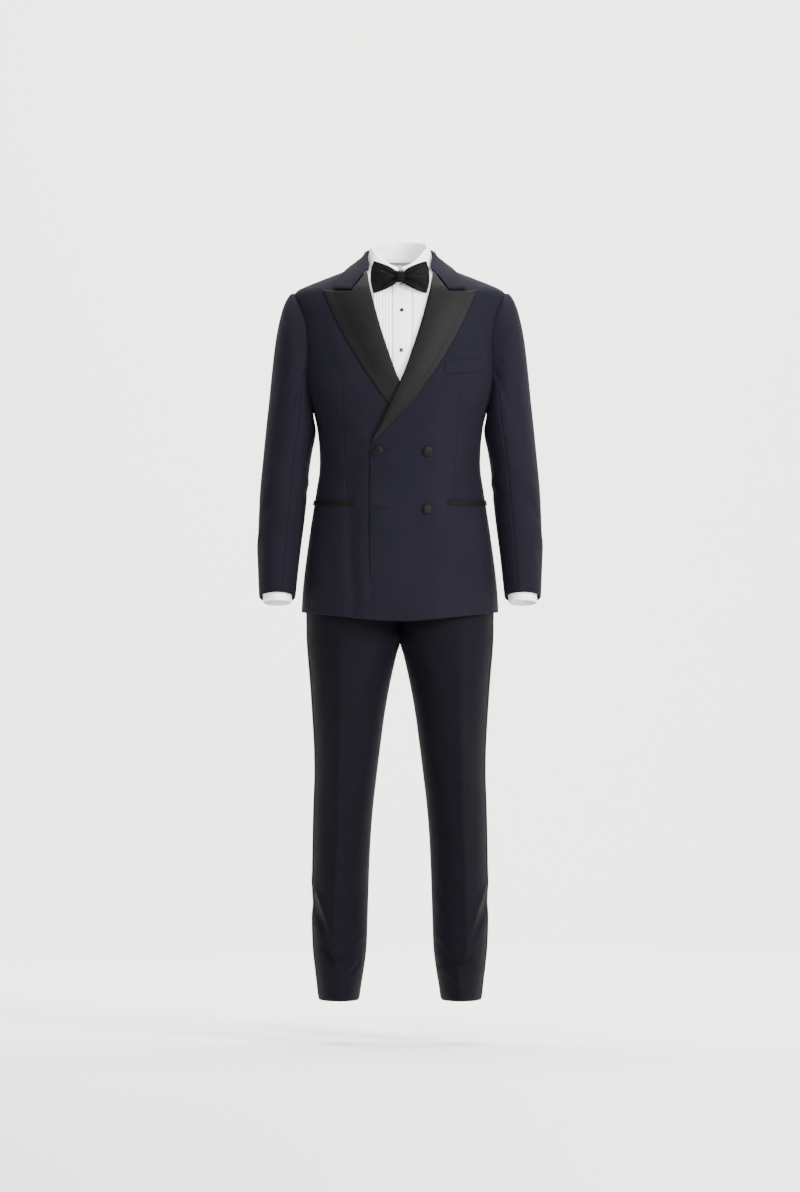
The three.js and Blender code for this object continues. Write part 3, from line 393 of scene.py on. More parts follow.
def lay(name, node, grid, spot, thick, finish, slot, held="hung", side=1, edge=1.0, joined=False):
    """Cuts a grid of cloth and lays it on its form: spot(across, down, out) gives millimetres.
    Its edges turn in a little, as at a seam or a hem, and a joined one is closed into a tube."""
    bm = bmesh.new()
    bmesh.ops.create_grid(bm, x_segments=grid[0], y_segments=grid[1], size=0.5)
    flat = np.array([v.co for v in bm.verts])
    across, down = flat[:, 0] + 0.5, crowded(0.5 - flat[:, 1])
    if not joined:
        across = crowded(across)
    plain = spot(across, down, 0.0) * MM
    lines = {}
    for index, (a, d) in enumerate(zip(across.round(6), down.round(6))):
        lines.setdefault(("row", d), []).append((a, index))
        lines.setdefault(("column", a), []).append((d, index))

    def longest(kind):
        runs = [plain[[i for _, i in sorted(run)]] for key, run in lines.items() if key[0] == kind]
        return max(float(np.linalg.norm(np.diff(run, axis=0), axis=1).sum()) for run in runs)

    width, length = max(longest("row"), NARROWEST_CUT), max(longest("column"), NARROWEST_CUT)
    inward = np.minimum(down, 1 - down) * length
    if not joined:
        inward = np.minimum(inward, np.minimum(across, 1 - across) * width)
    dip = edge * EDGE_DIP * np.exp(-inward / EDGE_SOFT)
    points = spot(across, down, -dip) * MM
    outward = spot(across, down, 1.0) * MM - plain
    points[:, 0] *= side
    outward[:, 0] *= side
    for vertex, point in zip(bm.verts, points):
        vertex.co = point
    bm.normal_update()
    if sum(float(np.dot(v.normal, outward[i])) for i, v in enumerate(bm.verts)) < 0:
        bmesh.ops.reverse_faces(bm, faces=bm.faces)
    weave = bm.loops.layers.uv.new("Weave")
    for f in bm.faces:
        for loop in f.loops:
            i = loop.vert.index
            loop[weave].uv = (across[i] * width, down[i] * length)
    if joined:
        bmesh.ops.remove_doubles(bm, verts=bm.verts, dist=1e-6)
    area = sum(f.calc_area() for f in bm.faces)
    piece = made(name, bm, finish)
    wall = piece.modifiers.new("wall", "SOLIDIFY")
    wall.thickness = thick * MM
    wall.offset = -1
    wall.use_even_offset = True
    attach(piece, "root")
    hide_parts(node)
    share = min(max(area / (width * length), 0.3), 1.0)
    flat_area = round(share * width * length, 6)
    return piece


# Suiting: a fine twill, dark navy, matte with a little sheen. Its ribs run up to the right.
TWILL_PITCH = 0.0012
GROOVE_WIDE = 0.0011
NAVY_DARK = (0.0032, 0.0031, 0.0058)
NAVY_LIGHT = (0.0085, 0.0076, 0.0136)


def suiting(name, lines=(), depth=1.0):
    """The suiting, with pressed seam lines: each is (x, z) to (x, z) on the front, in metres."""
    wool = Finish(name, sheen_weight=0.008, sheen_roughness=0.5)
    wool.set("Specular IOR Level", 0.04)
    u, v, _ = wool.place("UV")
    twill = ((u + v) * (2 * math.pi / TWILL_PITCH)).math("SINE")
    yarn = wool.noise("UV", 900.0, 3.0)
    cloud = wool.noise("Object", 9.0, 3.0)
    tone = twill * 0.16 + yarn * 0.55 + cloud * 0.5 - 0.05
    # depth darkens the whole tone: on the trousers it is partly the cloth's own darker tone and partly
    # painted shade for the lesser light on the legs.
    dark, light = [c * depth for c in NAVY_DARK], [c * depth for c in NAVY_LIGHT]
    wool.set("Base Color", wool.blend(tone, dark, light))
    height = twill * 0.25 + yarn * 0.6
    if lines:
        x, y, z = wool.place("Object")
    for x0, z0, x1, z1, front in lines:
        long = math.hypot(x1 - x0, z1 - z0)
        cos, sin = (x1 - x0) / long, (z1 - z0) / long
        along = (x - x0) * cos + (z - z0) * sin
        aside = ((z - z0) * cos - (x - x0) * sin).math("ABSOLUTE")
        inside = along.math("GREATER_THAN", 0.0) * along.math("LESS_THAN", long)
        inside = inside * (y * front).math("GREATER_THAN", 0.0)
        groove = (aside * (-1 / GROOVE_WIDE)).math("EXPONENT") * inside
        height = height - groove * 6.0
    wool.bump(height, 0.00022)
    wool.set("Roughness", yarn * 0.12 + 0.62)
    return wool


# Front darts run from below the chest to the pocket, one each side.
DARTS = [
    (0.121, -0.246, 0.107, -0.474, -1.0),
    (-0.117, -0.246, -0.107, -0.474, -1.0),
]
jacket_wool = suiting("jacket_wool", DARTS)

# Fronts: the wearer's left laps over the right. The edge follows the lapel's roll line down to the
# fastening, then falls straight to the hem. The fastened button draws soft folds toward it.
ROLL = table(
    "z x",
    [
        (20, 67),
        (-10, 66.5),
        (-54, 59.5),
        (-76, 54),
        (-118, 43),
        (-170, 26.5),
        (-224, 7.5),
        (-280, -17.5),
        (-324, -37),
        (-362, -55),
        (-390, -58.5),
        (-550, -59.5),
        (-724, -60),
    ],
)
roll_x = through(ROLL, "z", "x")
NECK_TURN = 7
LAP_LIFT = 6.2
LAP_END_X = 134
LAP_FADE = 70
LAP_TOP_Z = -150
LAP_GROW = 90
SEAM_FADE = 0.13
UNDER_RISE = 3.6
SKIRT_FOLDS = [
    # x, z, lean, half length, width, depth
    (88, -600, 82, 95, 22, 2.6),
    (26, -606, 88, 100, 26, -1.6),
    (140, -610, 84, 90, 20, -2.2),
    (150, -300, 62, 60, 12, -2.4),
    (158, -262, 70, 55, 11, 1.8),
    (176, -236, 76, 46, 9, -2.0),
    (120, -180, 76, 60, 18, 1.4),
    (128, -432, 34, 42, 13, -1.5),
]
OVER_FOLDS = [
    (2, -386, -8, 52, 9, -1.8),
    (14, -356, 20, 54, 11, 1.6),
    (10, -420, -36, 48, 12, 1.3),
    (96, -350, -34, 50, 13, -1.4),
    (104, -400, 14, 44, 12, 1.3),
    *SKIRT_FOLDS,
]
UNDER_FOLDS = [
    (80, -346, 47, 40, 11, 2.2),
    (92, -364, 30, 42, 10, -1.9),
    (112, -386, 4, 44, 10, 1.4),
    (102, -406, -24, 44, 12, -1.7),
    (90, -436, -48, 44, 13, 1.2),
    (100, -590, 90, 150, 13, -3.8),
    *SKIRT_FOLDS,
]


def edge_x(z):
    return roll_x(z) + NECK_TURN * ease((z + 46) / 16)


def lap_lift(x, z, side):
    if side < 0:
        return np.zeros(np.broadcast(x, z).shape)
    return LAP_LIFT * ease((LAP_END_X - x) / LAP_FADE) * ease((LAP_TOP_Z - z) / LAP_GROW)


def front_form(x, z, side, free=1.0):
    """How far a front stands off the plain section: its lap, its folds and its hem's swing, which
    are free between the seams. The under front rises toward the edge that laps it."""
    swing = 1.6 * np.sin(x / 38 + side) * ease((-560 - z) / 150)
    folds = creases(OVER_FOLDS if side > 0 else UNDER_FOLDS, x, z)
    rise = UNDER_RISE * ease((100 - x) / 38) * ease((-330 - z) / 60) * (side < 0)
    return lap_lift(x, z, side) + (folds + swing) * free + rise


for name, side in (("left", 1), ("right", -1)):

    def spot(across, down, out, side=side):
        level = body_z(down, math.radians(-90))
        angle = mix(front_angle(edge_x(level), level), outer_angle(down, -1), across)
        z = body_z(down, angle)
        x = on_section(angle, z)[..., 0]
        return torso(angle, z, out + front_form(x, z, side, ease((1 - across) / SEAM_FADE)))

    node = f"jacket_front_{name}"
    lay(f"front_{name}", node, (64, 132), spot, JACKET_CLOTH, jacket_wool, "navy_wool", side=side)

# Side bodies: narrow panels from the foot of the armhole to the hem, curved in at the waist.
SIDE_REACH = 165
for name, side in (("left", 1), ("right", -1)):

    def spot(across, down, out):
        start, end = arm_angle(JOIN_STEP), arm_angle(ARM_STEPS - JOIN_STEP)
        step = JOIN_STEP + across * (ARM_STEPS - 2 * JOIN_STEP)
        share = (arm_angle(step) - start) / (end - start)
        gap = mix(1, -1, share) * SEAM_GAP / 2 / SIDE_REACH
        angle = mix(mix(start, SIDE_SEAM_FRONT, down), mix(end, SIDE_SEAM_BACK, down), share) + gap
        z = mix(arm_z(step), hem_z(angle), down)
        x = on_section(angle, z)[..., 0]
        folds = creases(SKIRT_FOLDS, x, z) * ease(-angle / 0.3) + 1.2 * np.sin(down * 9)
        return torso(angle, z, out + folds * np.sin(share * math.pi) * ease(down / SEAM_FADE))

    node = f"jacket_side_{name}"
    lay(f"side_body_{name}", node, (20, 96), spot, JACKET_CLOTH, jacket_wool, "navy_wool", side=side)

# Backs: two halves joined down the middle, with soft drape lines over the blades and at the waist.
BACK_REACH = 95
BACK_FOLDS = [
    (120, -400, 12, 60, 12, -1.8),
    (60, -420, -8, 70, 13, 1.6),
    (135, -440, 30, 50, 13, 1.5),
    (150, -250, 74, 75, 13, -2.6),
    (132, -240, 78, 80, 13, 2.0),
    (70, -140, 30, 55, 18, 1.2),
    (80, -610, 86, 95, 24, 2.4),
    (130, -620, 84, 90, 20, -2.0),
]
for name, side in (("left", 1), ("right", -1)):

    def spot(across, down, out):
        level = body_z(down, math.radians(90))
        middle = math.radians(90) - SEAM_GAP / 2 / BACK_REACH
        angle = mix(outer_angle(down, 1), middle, across)
        z = body_z(down, angle)
        x = on_section(angle, z)[..., 0]
        folds = creases(BACK_FOLDS, x, z) * ease(across / SEAM_FADE)
        return torso(angle, z, out + folds)

    node = f"jacket_back_{name}"
    lay(f"back_{name}", node, (52, 120), spot, JACKET_CLOTH, jacket_wool, "navy_wool", side=side)


# Sleeves: two panels each, set into the armhole. They hang straight to the elbow and bend a little
# forward below it, where the cloth breaks into soft slanting folds.
SLEEVE = table(
    "row out_x out_z in_x in_z deep y tilt",
    [
        (0, 214, -60, 174.6, -300, 66, 0, 0),
        (1, 222.5, -64, 173.6, -306, 68, 0, 0),
        (2, 232.5, -83, 172.4, -312, 70, 0, 0),
        (3, 242, -115, 171, -319, 71, 0, 0),
        (4, 250.5, -160, 169.4, -328, 71.5, 1, 0),
        (5, 257, -215, 168.6, -339, 71, 2, 0),
        (6, 263, -275, 171, -356, 70, 3, 0),
        (7, 269.5, -335, 176.6, -382, 68, 4, 0),
        (8, 275.5, -395, 182, -418, 65, 4, 0),
        (9, 281, -455, 186, -467, 61, 0, 1),
        (10, 284, -520, 192, -523, 57, -8, 3),
        (11, 285.5, -590, 200.5, -590, 52.5, -19, 7),
        (12, 282.5, -671, 209, -671, 48, -31, 11),
    ],
)
SLEEVE_ROWS = 12
HEAD_ROWS = 2.5
sleeve_curves = {column: through(SLEEVE, "row", column) for column in SLEEVE if column != "row"}


def on_sleeve(turn, row):
    """Turn 0 runs down the outer line of the arm and 90 degrees down its front."""
    out_x, out_z, in_x, in_z, deep, middle_y, tilt = (curve(row) for curve in sleeve_curves.values())
    cos, sin = np.cos(turn), np.sin(turn)
    x = mix(in_x, out_x, (1 + cos) / 2)
    z = mix(in_z, out_z, (1 + cos) / 2) + tilt * sin
    y = middle_y - deep * sin
    head_y, head_z = -ARM_REACH_Y * sin, ARM_MIDDLE_Z + ARM_REACH_Z * cos
    depth = np.where(head_y < 0, torso_front(head_z), torso_back(head_z))
    seam_x = torso_half(head_z) * round_off(head_y, depth, torso_power(head_z)) + SEAM_GAP
    head_x = mix(sleeve_curves["in_x"](0), sleeve_curves["out_x"](0), (1 + cos) / 2)
    head = np.maximum(0, 1 - row / HEAD_ROWS) ** 2
    return stack(x + (seam_x - head_x) * head, y, z)


def sleeve(turn, row, out):
    return face(on_sleeve, turn, np.clip(row, 0.05, SLEEVE_ROWS - 0.05), out, (0.02, 0.05)) + (
        on_sleeve(turn, row) - on_sleeve(turn, np.clip(row, 0.05, SLEEVE_ROWS - 0.05))
    )


SLEEVE_FOLDS = [
    # girth from the outer line, z, lean, half length, width, depth
    (72, -470, 32, 46, 10, -2.2),
    (66, -440, 24, 40, 9, 1.8),
    (48, -505, 40, 48, 11, -2.0),
    (90, -425, 12, 34, 9, -1.6),
    (20, -540, 66, 60, 12, 1.6),
    (-70, -455, -28, 48, 11, -2.2),
    (-62, -490, -36, 46, 10, 1.8),
    (-84, -425, -16, 40, 9, -1.6),
    (80, -230, 70, 66, 12, 1.8),
    (104, -260, 66, 52, 10, -2.2),
    (-88, -240, -70, 60, 12, 1.8),
    (-108, -280, -64, 50, 10, -2.0),
    (36, -610, 80, 46, 14, -1.4),
    (160, -470, 10, 44, 12, -2.2),
    (176, -440, -8, 46, 11, 1.8),
]
ARM_GIRTH = 62
HEAD_TUCK_ROWS = 0.14
HEAD_TUCK_IN = 2.6
HEAD_TUCK_UNDER = 4.2
FOREARM_SEAM = 6
ELBOW_SEAM = 16
SLEEVE_REACH = 60
SLEEVE_SEAM_TURN = SEAM_GAP / 2 / SLEEVE_REACH
sleeve_wool = suiting("sleeve_wool")


def sleeve_form(turn, row):
    girth = turn * ARM_GIRTH
    z = on_sleeve(turn, row)[..., 2]
    crown = 0.9 * np.exp(-(((row - 0.5) / 0.45) ** 2)) * np.cos(turn / 2) ** 2
    folds = creases(SLEEVE_FOLDS, girth, z) + creases(SLEEVE_FOLDS, girth - 2 * math.pi * ARM_GIRTH, z)
    return (crown + folds * ease((SLEEVE_ROWS - row) / 1.2)) * ease(row / 1.5 + 0.02)


SLEEVE_PANELS = [("top", ELBOW_SEAM - ARM_STEPS, FOREARM_SEAM, 44), ("under", FOREARM_SEAM, ELBOW_SEAM, 40)]
for name, side in (("left", 1), ("right", -1)):
    for panel, first, last, columns in SLEEVE_PANELS:

        def spot(across, down, out, first=first, last=last):
            turn = arm_turn(mix(first, last, across)) + mix(1, -1, across) * SLEEVE_SEAM_TURN
            row = down * SLEEVE_ROWS
            tuck = 1 - ease(row / HEAD_TUCK_ROWS)
            point = sleeve(turn, row, out + sleeve_form(turn, row) - HEAD_TUCK_IN * tuck)
            return point - stack(HEAD_TUCK_UNDER * tuck, 0, 0)

        node = f"sleeve_{panel}_{name}"
        grid = (columns, 120)
        piece_name = f"sleeve_{name}_{panel}_panel"
        lay(piece_name, node, grid, spot, JACKET_CLOTH, sleeve_wool, "navy_wool", side=side)

# Lapels: broad and peaked, faced in black satin, turned back over the front's edge in a soft roll.
SATIN_CLOTH = 1.4
LAPEL_TOP_Z = -20
PEAK_Z = -57
LAPEL_END_Z = -362
LAPEL_EDGE = table(
    "z x",
    [
        (-57, 154.5),
        (-100, 135),
        (-142, 115),
        (-200, 81),
        (-247, 49),
        (-279, 26),
        (-338, -31.5),
        (-362, -53.5),
    ],
)
LAPEL_ACROSS = table(
    "at dip",
    [
        (0, 0),
        (0.17, -16.5),
        (0.35, -30.5),
        (0.52, -24.5),
        (0.7, -16.5),
        (0.86, -7.5),
        (1, 0),
    ],
)
LAPEL_GAP = 1.3
LAPEL_ROLL = 4.2
ROLL_EDGE = 0.07
lapel_edge_x = through(LAPEL_EDGE, "z", "x")
RIB_PITCH = 0.0008
SATIN_DARK = (0.0026, 0.0026, 0.0026)
SATIN_LIGHT = (0.0052, 0.0051, 0.0051)


def satin(name, scale=1.0, roughness=0.44, shine=0.08):
    """Satin: black, close and smooth, with a soft shine and the faintest ribs."""
    cloth = Finish(name, sheen_weight=0.01, sheen_roughness=0.3)
    cloth.set("Specular IOR Level", shine)
    u, v, _ = cloth.place("UV")
    ribs = (v * (2 * math.pi / RIB_PITCH)).math("SINE")
    cloud = cloth.noise("Object", 26.0 * scale, 3.0)
    grain = cloth.noise("UV", 1400.0, 2.0)
    cloth.set("Base Color", cloth.blend(cloud * 0.8 + grain * 0.2, SATIN_DARK, SATIN_LIGHT))
    cloth.set("Roughness", cloud * 0.1 + grain * 0.06 + roughness)
    cloth.bump(ribs * 0.1 + grain * 0.5 + cloud * 2.0, 0.0002)
    return cloth


lapel_satin = satin("lapel_satin")
for name, side in (("left", 1), ("right", -1)):

    def spot(across, down, out, side=side):
        dip = np.interp(across, LAPEL_ACROSS["at"], LAPEL_ACROSS["dip"])
        inner_z = mix(LAPEL_TOP_Z, LAPEL_END_Z, down)
        outer_z = mix(PEAK_Z, LAPEL_END_Z - 2, down)
        x = mix(roll_x(inner_z), lapel_edge_x(outer_z) + 1.5 * down, across)
        z = mix(inner_z, outer_z, across) + dip * (1 - down) ** 7
        free = 1 if side > 0 else ease((z + 260) / 60)
        roll = LAPEL_ROLL * free * np.sin(math.pi * np.minimum(1, across * 1.15 + 0.12)) * (1 - 0.75 * down)
        turned = np.sqrt(1 - (1 - np.clip(across / ROLL_EDGE, 0, 1)) ** 2)
        lift = lap_lift(x, z, side)
        height = (LAPEL_GAP + SATIN_CLOTH + roll) * mix(0.25, 1, turned) + lift
        return torso(front_angle(x, z), z, out + height)

    node = f"lapel_{name}"
    grid = (44, 120)
    lay(f"lapel_{name}_facing", node, grid, spot, SATIN_CLOTH, lapel_satin, "satin", "folded", side)

# Jacket collar: wool, one strip folded round the neck, its fall meeting the lapels at the gorge.
COLLAR = table(
    "at roll_turn roll_z middle_turn middle_z fall_turn fall_z stand crest stand_in",
    [
        (0, 90, 35, 90, 13, 90, -9, 24, 0.15, 5.5),
        (0.3, 55, 33, 56, 11, 58, -9, 21, 0.15, 5.5),
        (0.55, 22, 25, 24, 6, 25, -9, 16, 0.15, 5.5),
        (0.7, -5, 18, -4, 2, -3, -11, 10, 0.15, 5.5),
        (0.82, -19, 8.5, -20, -9, -18, -23, 6, 0.4, 4.8),
        (0.92, -32, -4, -33, -30, -25.5, -40, 3, 0.5, 3.4),
        (1, -41, -17, -42, -59, -30.5, -56.5, 1.5, 0.5, 2.8),
    ],
)
COLLAR_LIFT = 5.2
FALL_SHARE = 0.66
CREST_SHARE = 0.16
collar_curves = {column: through(COLLAR, "at", column) for column in COLLAR if column != "at"}


def between(start, middle, end, share):
    return np.where(share < 0.5, mix(start, middle, 2 * share), mix(middle, end, 2 * share - 1))


def collar_spot(across, down, out):
    at = np.abs(2 * across - 1)
    roll_turn, roll_z, middle_turn, middle_z, fall_turn, fall_z, stand, crest_lift, stand_in = (
        curve(at) for curve in collar_curves.values()
    )
    fall = np.clip(1 - down / FALL_SHARE, 0, 1) ** 0.9
    crest = np.clip((down - FALL_SHARE) / CREST_SHARE, 0, 1)
    inside = np.clip((down - FALL_SHARE - CREST_SHARE) / (1 - FALL_SHARE - CREST_SHARE), 0, 1)
    angle = between(roll_turn, middle_turn, fall_turn, fall)
    z = between(roll_z, middle_z, fall_z, fall) + 2.4 * np.sin(math.pi * crest) - stand * inside
    outer = COLLAR_LIFT * np.minimum(1, crest_lift + fall * 1.75)
    level = mix(outer, -stand_in, (1 - np.cos(math.pi * crest)) / 2)
    facing = np.where(crest > 0.5, -1, 1)
    point = torso(np.radians(angle), z, level + facing * out)
    point[..., 0] *= np.where(across < 0.5, 1, -1)
    return point


collar_wool = suiting("collar_wool")
lay("collar_fold", "jacket_collar", (120, 36), collar_spot, 1.6, collar_wool, "navy_wool", "folded")

# Pockets: two narrow satin jets to each hip pocket, and a wool welt on the wearer's left breast.
POCKET_X = 93.5
POCKET_TURN = math.radians(46)
JET_Z = -476.5
JET_HEIGHT = 5.4
JET_REST = 0.5
JET_SWELL, JET_WAVE = 0.7, 0.25
JET_FLATTENS = 0.7
jet_satin = satin("jet_satin", 1.0, 0.5, 0.05)


def front_free(angle, z):
    """How free a front's cloth is to fold: not at all at its side seam."""
    foot_z = arm_z(JOIN_STEP)
    seam = mix(arm_angle(JOIN_STEP), SIDE_SEAM_FRONT, (foot_z - z) / (foot_z - JACKET_HEM_Z))
    return ease((seam - angle) / (seam - front_angle(edge_x(z), z)) / SEAM_FADE)


for name, side in (("left", 1), ("right", -1)):
    for step, jet in enumerate(("upper", "lower")):
        top = JET_Z - step * (JET_HEIGHT + SEAM_GAP)

        def spot(across, down, out, side=side, top=top):
            angle = front_angle(POCKET_X, JET_Z) + POCKET_TURN * across
            z = top - down * JET_HEIGHT
            x = on_section(angle, z)[..., 0]
            swell = JET_SWELL * np.sin(math.pi * down) + JET_WAVE * np.sin(across * 17 + step)
            swell = swell * (1 - JET_FLATTENS * across)
            form = front_form(x, z, side, front_free(angle, z)) + JET_REST + SATIN_CLOTH + swell
            return torso(angle, z, out + form)

        node = f"pocket_jet_{jet}_{name}"
        lay(f"jet_{jet}_{name}", node, (48, 8), spot, 1.0, jet_satin, "satin", "folded", side, 0.4)

WELT_INNER = (88, -203)
WELT_OUTER = (166, -197)
WELT_HEIGHT = 24
WELT_CLOTH = 1.2


def welt_spot(across, down, out):
    x = mix(WELT_INNER[0], WELT_OUTER[0], across)
    z = mix(WELT_INNER[1], WELT_OUTER[1], across) - down * WELT_HEIGHT
    bow = 1.2 * np.sin(math.pi * across) * (1 - down)
    form = front_form(x, z, 1) + JET_REST + WELT_CLOTH + bow
    return torso(front_angle(x, z), z, out + form)


lay("welt", "breast_welt", (48, 16), welt_spot, WELT_CLOTH, sleeve_wool, "navy_wool", "folded", edge=0.5)


# Buttons: satin drawn over a domed round and gathered behind it, on a short shank of thread.
def button(name, node, radius, thick, seat, finish, slot):
    """A round turned from its profile, set on a seat that gives its foot and its facing."""
    bm = bmesh.new()
    profile = [(0.30, -0.12), (0.55, 0.0), (0.86, 0.02), (0.97, 0.16), (1.0, 0.38), (0.96, 0.58)]
    profile += [(0.85, 0.78), (0.66, 0.91), (0.4, 0.98), (0.0, 1.0)]
    spots = [bm.verts.new((r * radius * MM, 0, h * thick * MM)) for r, h in profile]
    edges = [bm.edges.new(pair) for pair in zip(spots, spots[1:])]
    bmesh.ops.spin(bm, geom=spots + edges, axis=(0, 0, 1), cent=(0, 0, 0), angle=2 * math.pi, steps=40)
    bmesh.ops.remove_doubles(bm, verts=bm.verts, dist=1e-6)
    bmesh.ops.holes_fill(bm, edges=[e for e in bm.edges if e.is_boundary])
    bmesh.ops.recalc_face_normals(bm, faces=bm.faces)
    foot, facing = Vector(seat(0) * MM), Vector(seat(1) - seat(0)).normalized()
    turned = facing.to_track_quat("Z", "Y").to_matrix().to_4x4()
    bmesh.ops.transform(bm, matrix=Matrix.Translation(foot) @ turned, verts=bm.verts)
    uv = bm.loops.layers.uv.new("Weave")
    for f in bm.faces:
        for loop in f.loops:
            local = turned.inverted() @ (loop.vert.co - foot)
            loop[uv].uv = local[:2]
    piece = made(name, bm, finish)
    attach(piece, "root")
    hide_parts(node)
    return piece


button_satin = satin("button_satin", 3.0, 0.36, 0.07)
BUTTON_REST = 0.6
FRONT_BUTTON_RADIUS, FRONT_BUTTON_THICK = 10.3, 5
FRONT_BUTTONS = [
    ("button_fastened", -42.5, -379),
    ("button_show_upper", 54, -380),
    ("button_show_lower", 53, -496),
]
for node, x, z in FRONT_BUTTONS:

    def seat(out, x=x, z=z):
        lift = front_form(np.float64(x), np.float64(z), 1) + BUTTON_REST
        return torso(front_angle(x, z), z, lift + out)

    size = FRONT_BUTTON_RADIUS, FRONT_BUTTON_THICK
    button(f"{node}_cover", node, *size, seat, button_satin, "covered_button")
CUFF_BUTTON_TURN = math.radians(-52)
CUFF_BUTTON_REST = 0.65
CUFF_BUTTON_RADIUS, CUFF_BUTTON_THICK = 7, 4
CUFF_BUTTON_ROWS = [11.84, 11.64, 11.44, 11.24]
for name, side in (("left", 1), ("right", -1)):
    for number, row in enumerate(CUFF_BUTTON_ROWS, 1):

        def seat(out, side=side, row=row):
            form = sleeve_form(np.float64(CUFF_BUTTON_TURN), np.float64(row)) + CUFF_BUTTON_REST
            return sleeve(CUFF_BUTTON_TURN, row, out + form) * (side, 1, 1)

        node = f"cuff_button_{name}_{number}"
        size = CUFF_BUTTON_RADIUS, CUFF_BUTTON_THICK
        button(f"{node}_cover", node, *size, seat, button_satin, "covered_button")

# Buttonholes: each a slit worked round with close thread, on the lapped front. One is buttoned.
THREAD_DARK = (0.0018, 0.0018, 0.0024)
THREAD_LIGHT = (0.006, 0.006, 0.0085)
HOLE_HALF_HIGH = 1.3
THREAD_RADIUS = 0.8
THREAD_TURNS = 46
BUTTONHOLES = [("buttonhole_fastened", -36, -378, 12), ("buttonhole_open", -36, -492, 12)]
thread = Finish("buttonhole_thread", roughness=0.6)
thread.set("Specular IOR Level", 0.1)
thread.set("Base Color", thread.blend(thread.noise("Object", 900.0), THREAD_DARK, THREAD_LIGHT))
for name, middle_x, middle_z, half_long in BUTTONHOLES:
    bm = bmesh.new()
    bmesh.ops.create_grid(bm, x_segments=THREAD_TURNS * 4, y_segments=8, size=0.5)
    share = np.array([v.co for v in bm.verts]) + 0.5
    turn, round_thread = share[:, 0] * 2 * math.pi, share[:, 1] * 2 * math.pi
    radius = THREAD_RADIUS * (1 + 0.18 * np.sin(share[:, 0] * THREAD_TURNS * 2 * math.pi))
    high = HOLE_HALF_HIGH + radius * np.cos(round_thread)
    x = middle_x + half_long * np.cos(turn) + radius * np.cos(round_thread) * np.cos(turn)
    z = middle_z + high * np.sin(turn)
    lift = front_form(x, z, 1) + radius * np.sin(round_thread) + 0.2
    for vertex, point in zip(bm.verts, torso(front_angle(x, z), z, lift) * MM):
        vertex.co = point
    bmesh.ops.remove_doubles(bm, verts=bm.verts, dist=1e-6)
    bmesh.ops.recalc_face_normals(bm, faces=bm.faces)
    hole = made(name, bm, thread)
    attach(hole, "root")

# Trousers: the jacket's navy at a darker tone, partly the cloth's own darker tone and partly painted shade
# for the lesser light on the legs; cut narrow, pressed to a crease front and back, with a soft break over
# the foot.
TROUSER_CLOTH = 1.6
TROUSER_TOP_Z = -470.3
FORK_TOP_Z = -636
CROTCH_Z = -722
TROUSER_HEM_Z = -1477
HIP_IN = 5.2
HIP_IN_LOW = 8.5
CREASE_WIDE = 20
LEG = table(
    "z outer inner deep y crease sharp",
    [
        (-722, 187, -2, 97, 1, 118, 1),
        (-756, 186.5, -2, 97, 3, 120, 3),
        (-786, 184.5, 6.5, 97, 4, 121, 5),
        (-846, 179.5, 20, 96, 5, 122, 7),
        (-906, 175.5, 30.5, 91, 4, 122, 8),
        (-966, 172, 38.5, 86, 3, 122, 8),
        (-1026, 171, 46, 82, 3, 123, 8),
        (-1086, 173, 53, 79, 4, 125, 8),
        (-1146, 174.5, 58, 77, 5, 127, 8),
        (-1206, 175.5, 61, 75, 6, 129, 8),
        (-1266, 176.5, 63, 73, 6, 131, 8),
        (-1326, 176, 65, 71, 3, 132, 7),
        (-1376, 174, 67, 69, -1, 132, 7),
        (-1416, 169.5, 72, 67, -5, 129, 7),
        (-1446, 166, 77, 66, -7, 125, 7),
        (-1476, 163, 81, 65, -8, 122, 7),
    ],
)
leg_curves = {column: through(LEG, "z", column) for column in LEG if column != "z"}
LEG_FOLDS = [
    # x, z, lean, half length, width, depth
    (20, -742, -24, 34, 9, -2.6),
    (30, -770, -40, 46, 10, 2.0),
    (62, -728, -12, 52, 10, -1.8),
    (64, -820, -66, 60, 13, 1.4),
    (128, -1050, 82, 90, 20, 1.4),
    (96, -1010, -72, 70, 16, -1.4),
    (104, -1300, -64, 60, 12, -1.6),
    (94, -1368, -40, 40, 9, 1.8),
]
# The break over each foot: the outer cloth folds in along a slanting edge that ends at the crease.
BREAK_FOLDS = {
    1: [
        (155, -1301, 71, 58, 5, 3.0),
        (165, -1306, 71, 52, 8, -4.2),
        (126, -1401, 38, 15, 5, -5.4),
        (110, -1402, 4, 26, 7, -3.8),
        (142, -1412, -12, 26, 8, 2.4),
        (100, -1424, -20, 26, 9, 2.0),
    ],
    -1: [
        (155, -1296, 70, 56, 5, 3.0),
        (163, -1316, 74, 56, 10, -5.2),
        (142, -1390, 58, 20, 7, -5.6),
        (114, -1393, -5, 26, 6, -4.6),
        (112, -1409, -8, 30, 8, 2.8),
        (90, -1410, -60, 18, 6, -2.4),
    ],
}
CREASE_STEP = {1: -13, -1: -3}
CREASE_STEP_Z = -1397


def crease_x(z, side):
    """The pressed crease, which steps aside under the break and comes back toward the hem."""
    step = ease((CREASE_STEP_Z - z) / 10) * (1 - 0.75 * ease((CREASE_STEP_Z - 14 - z) / 60))
    return leg_curves["crease"](z) + CREASE_STEP[side] * step


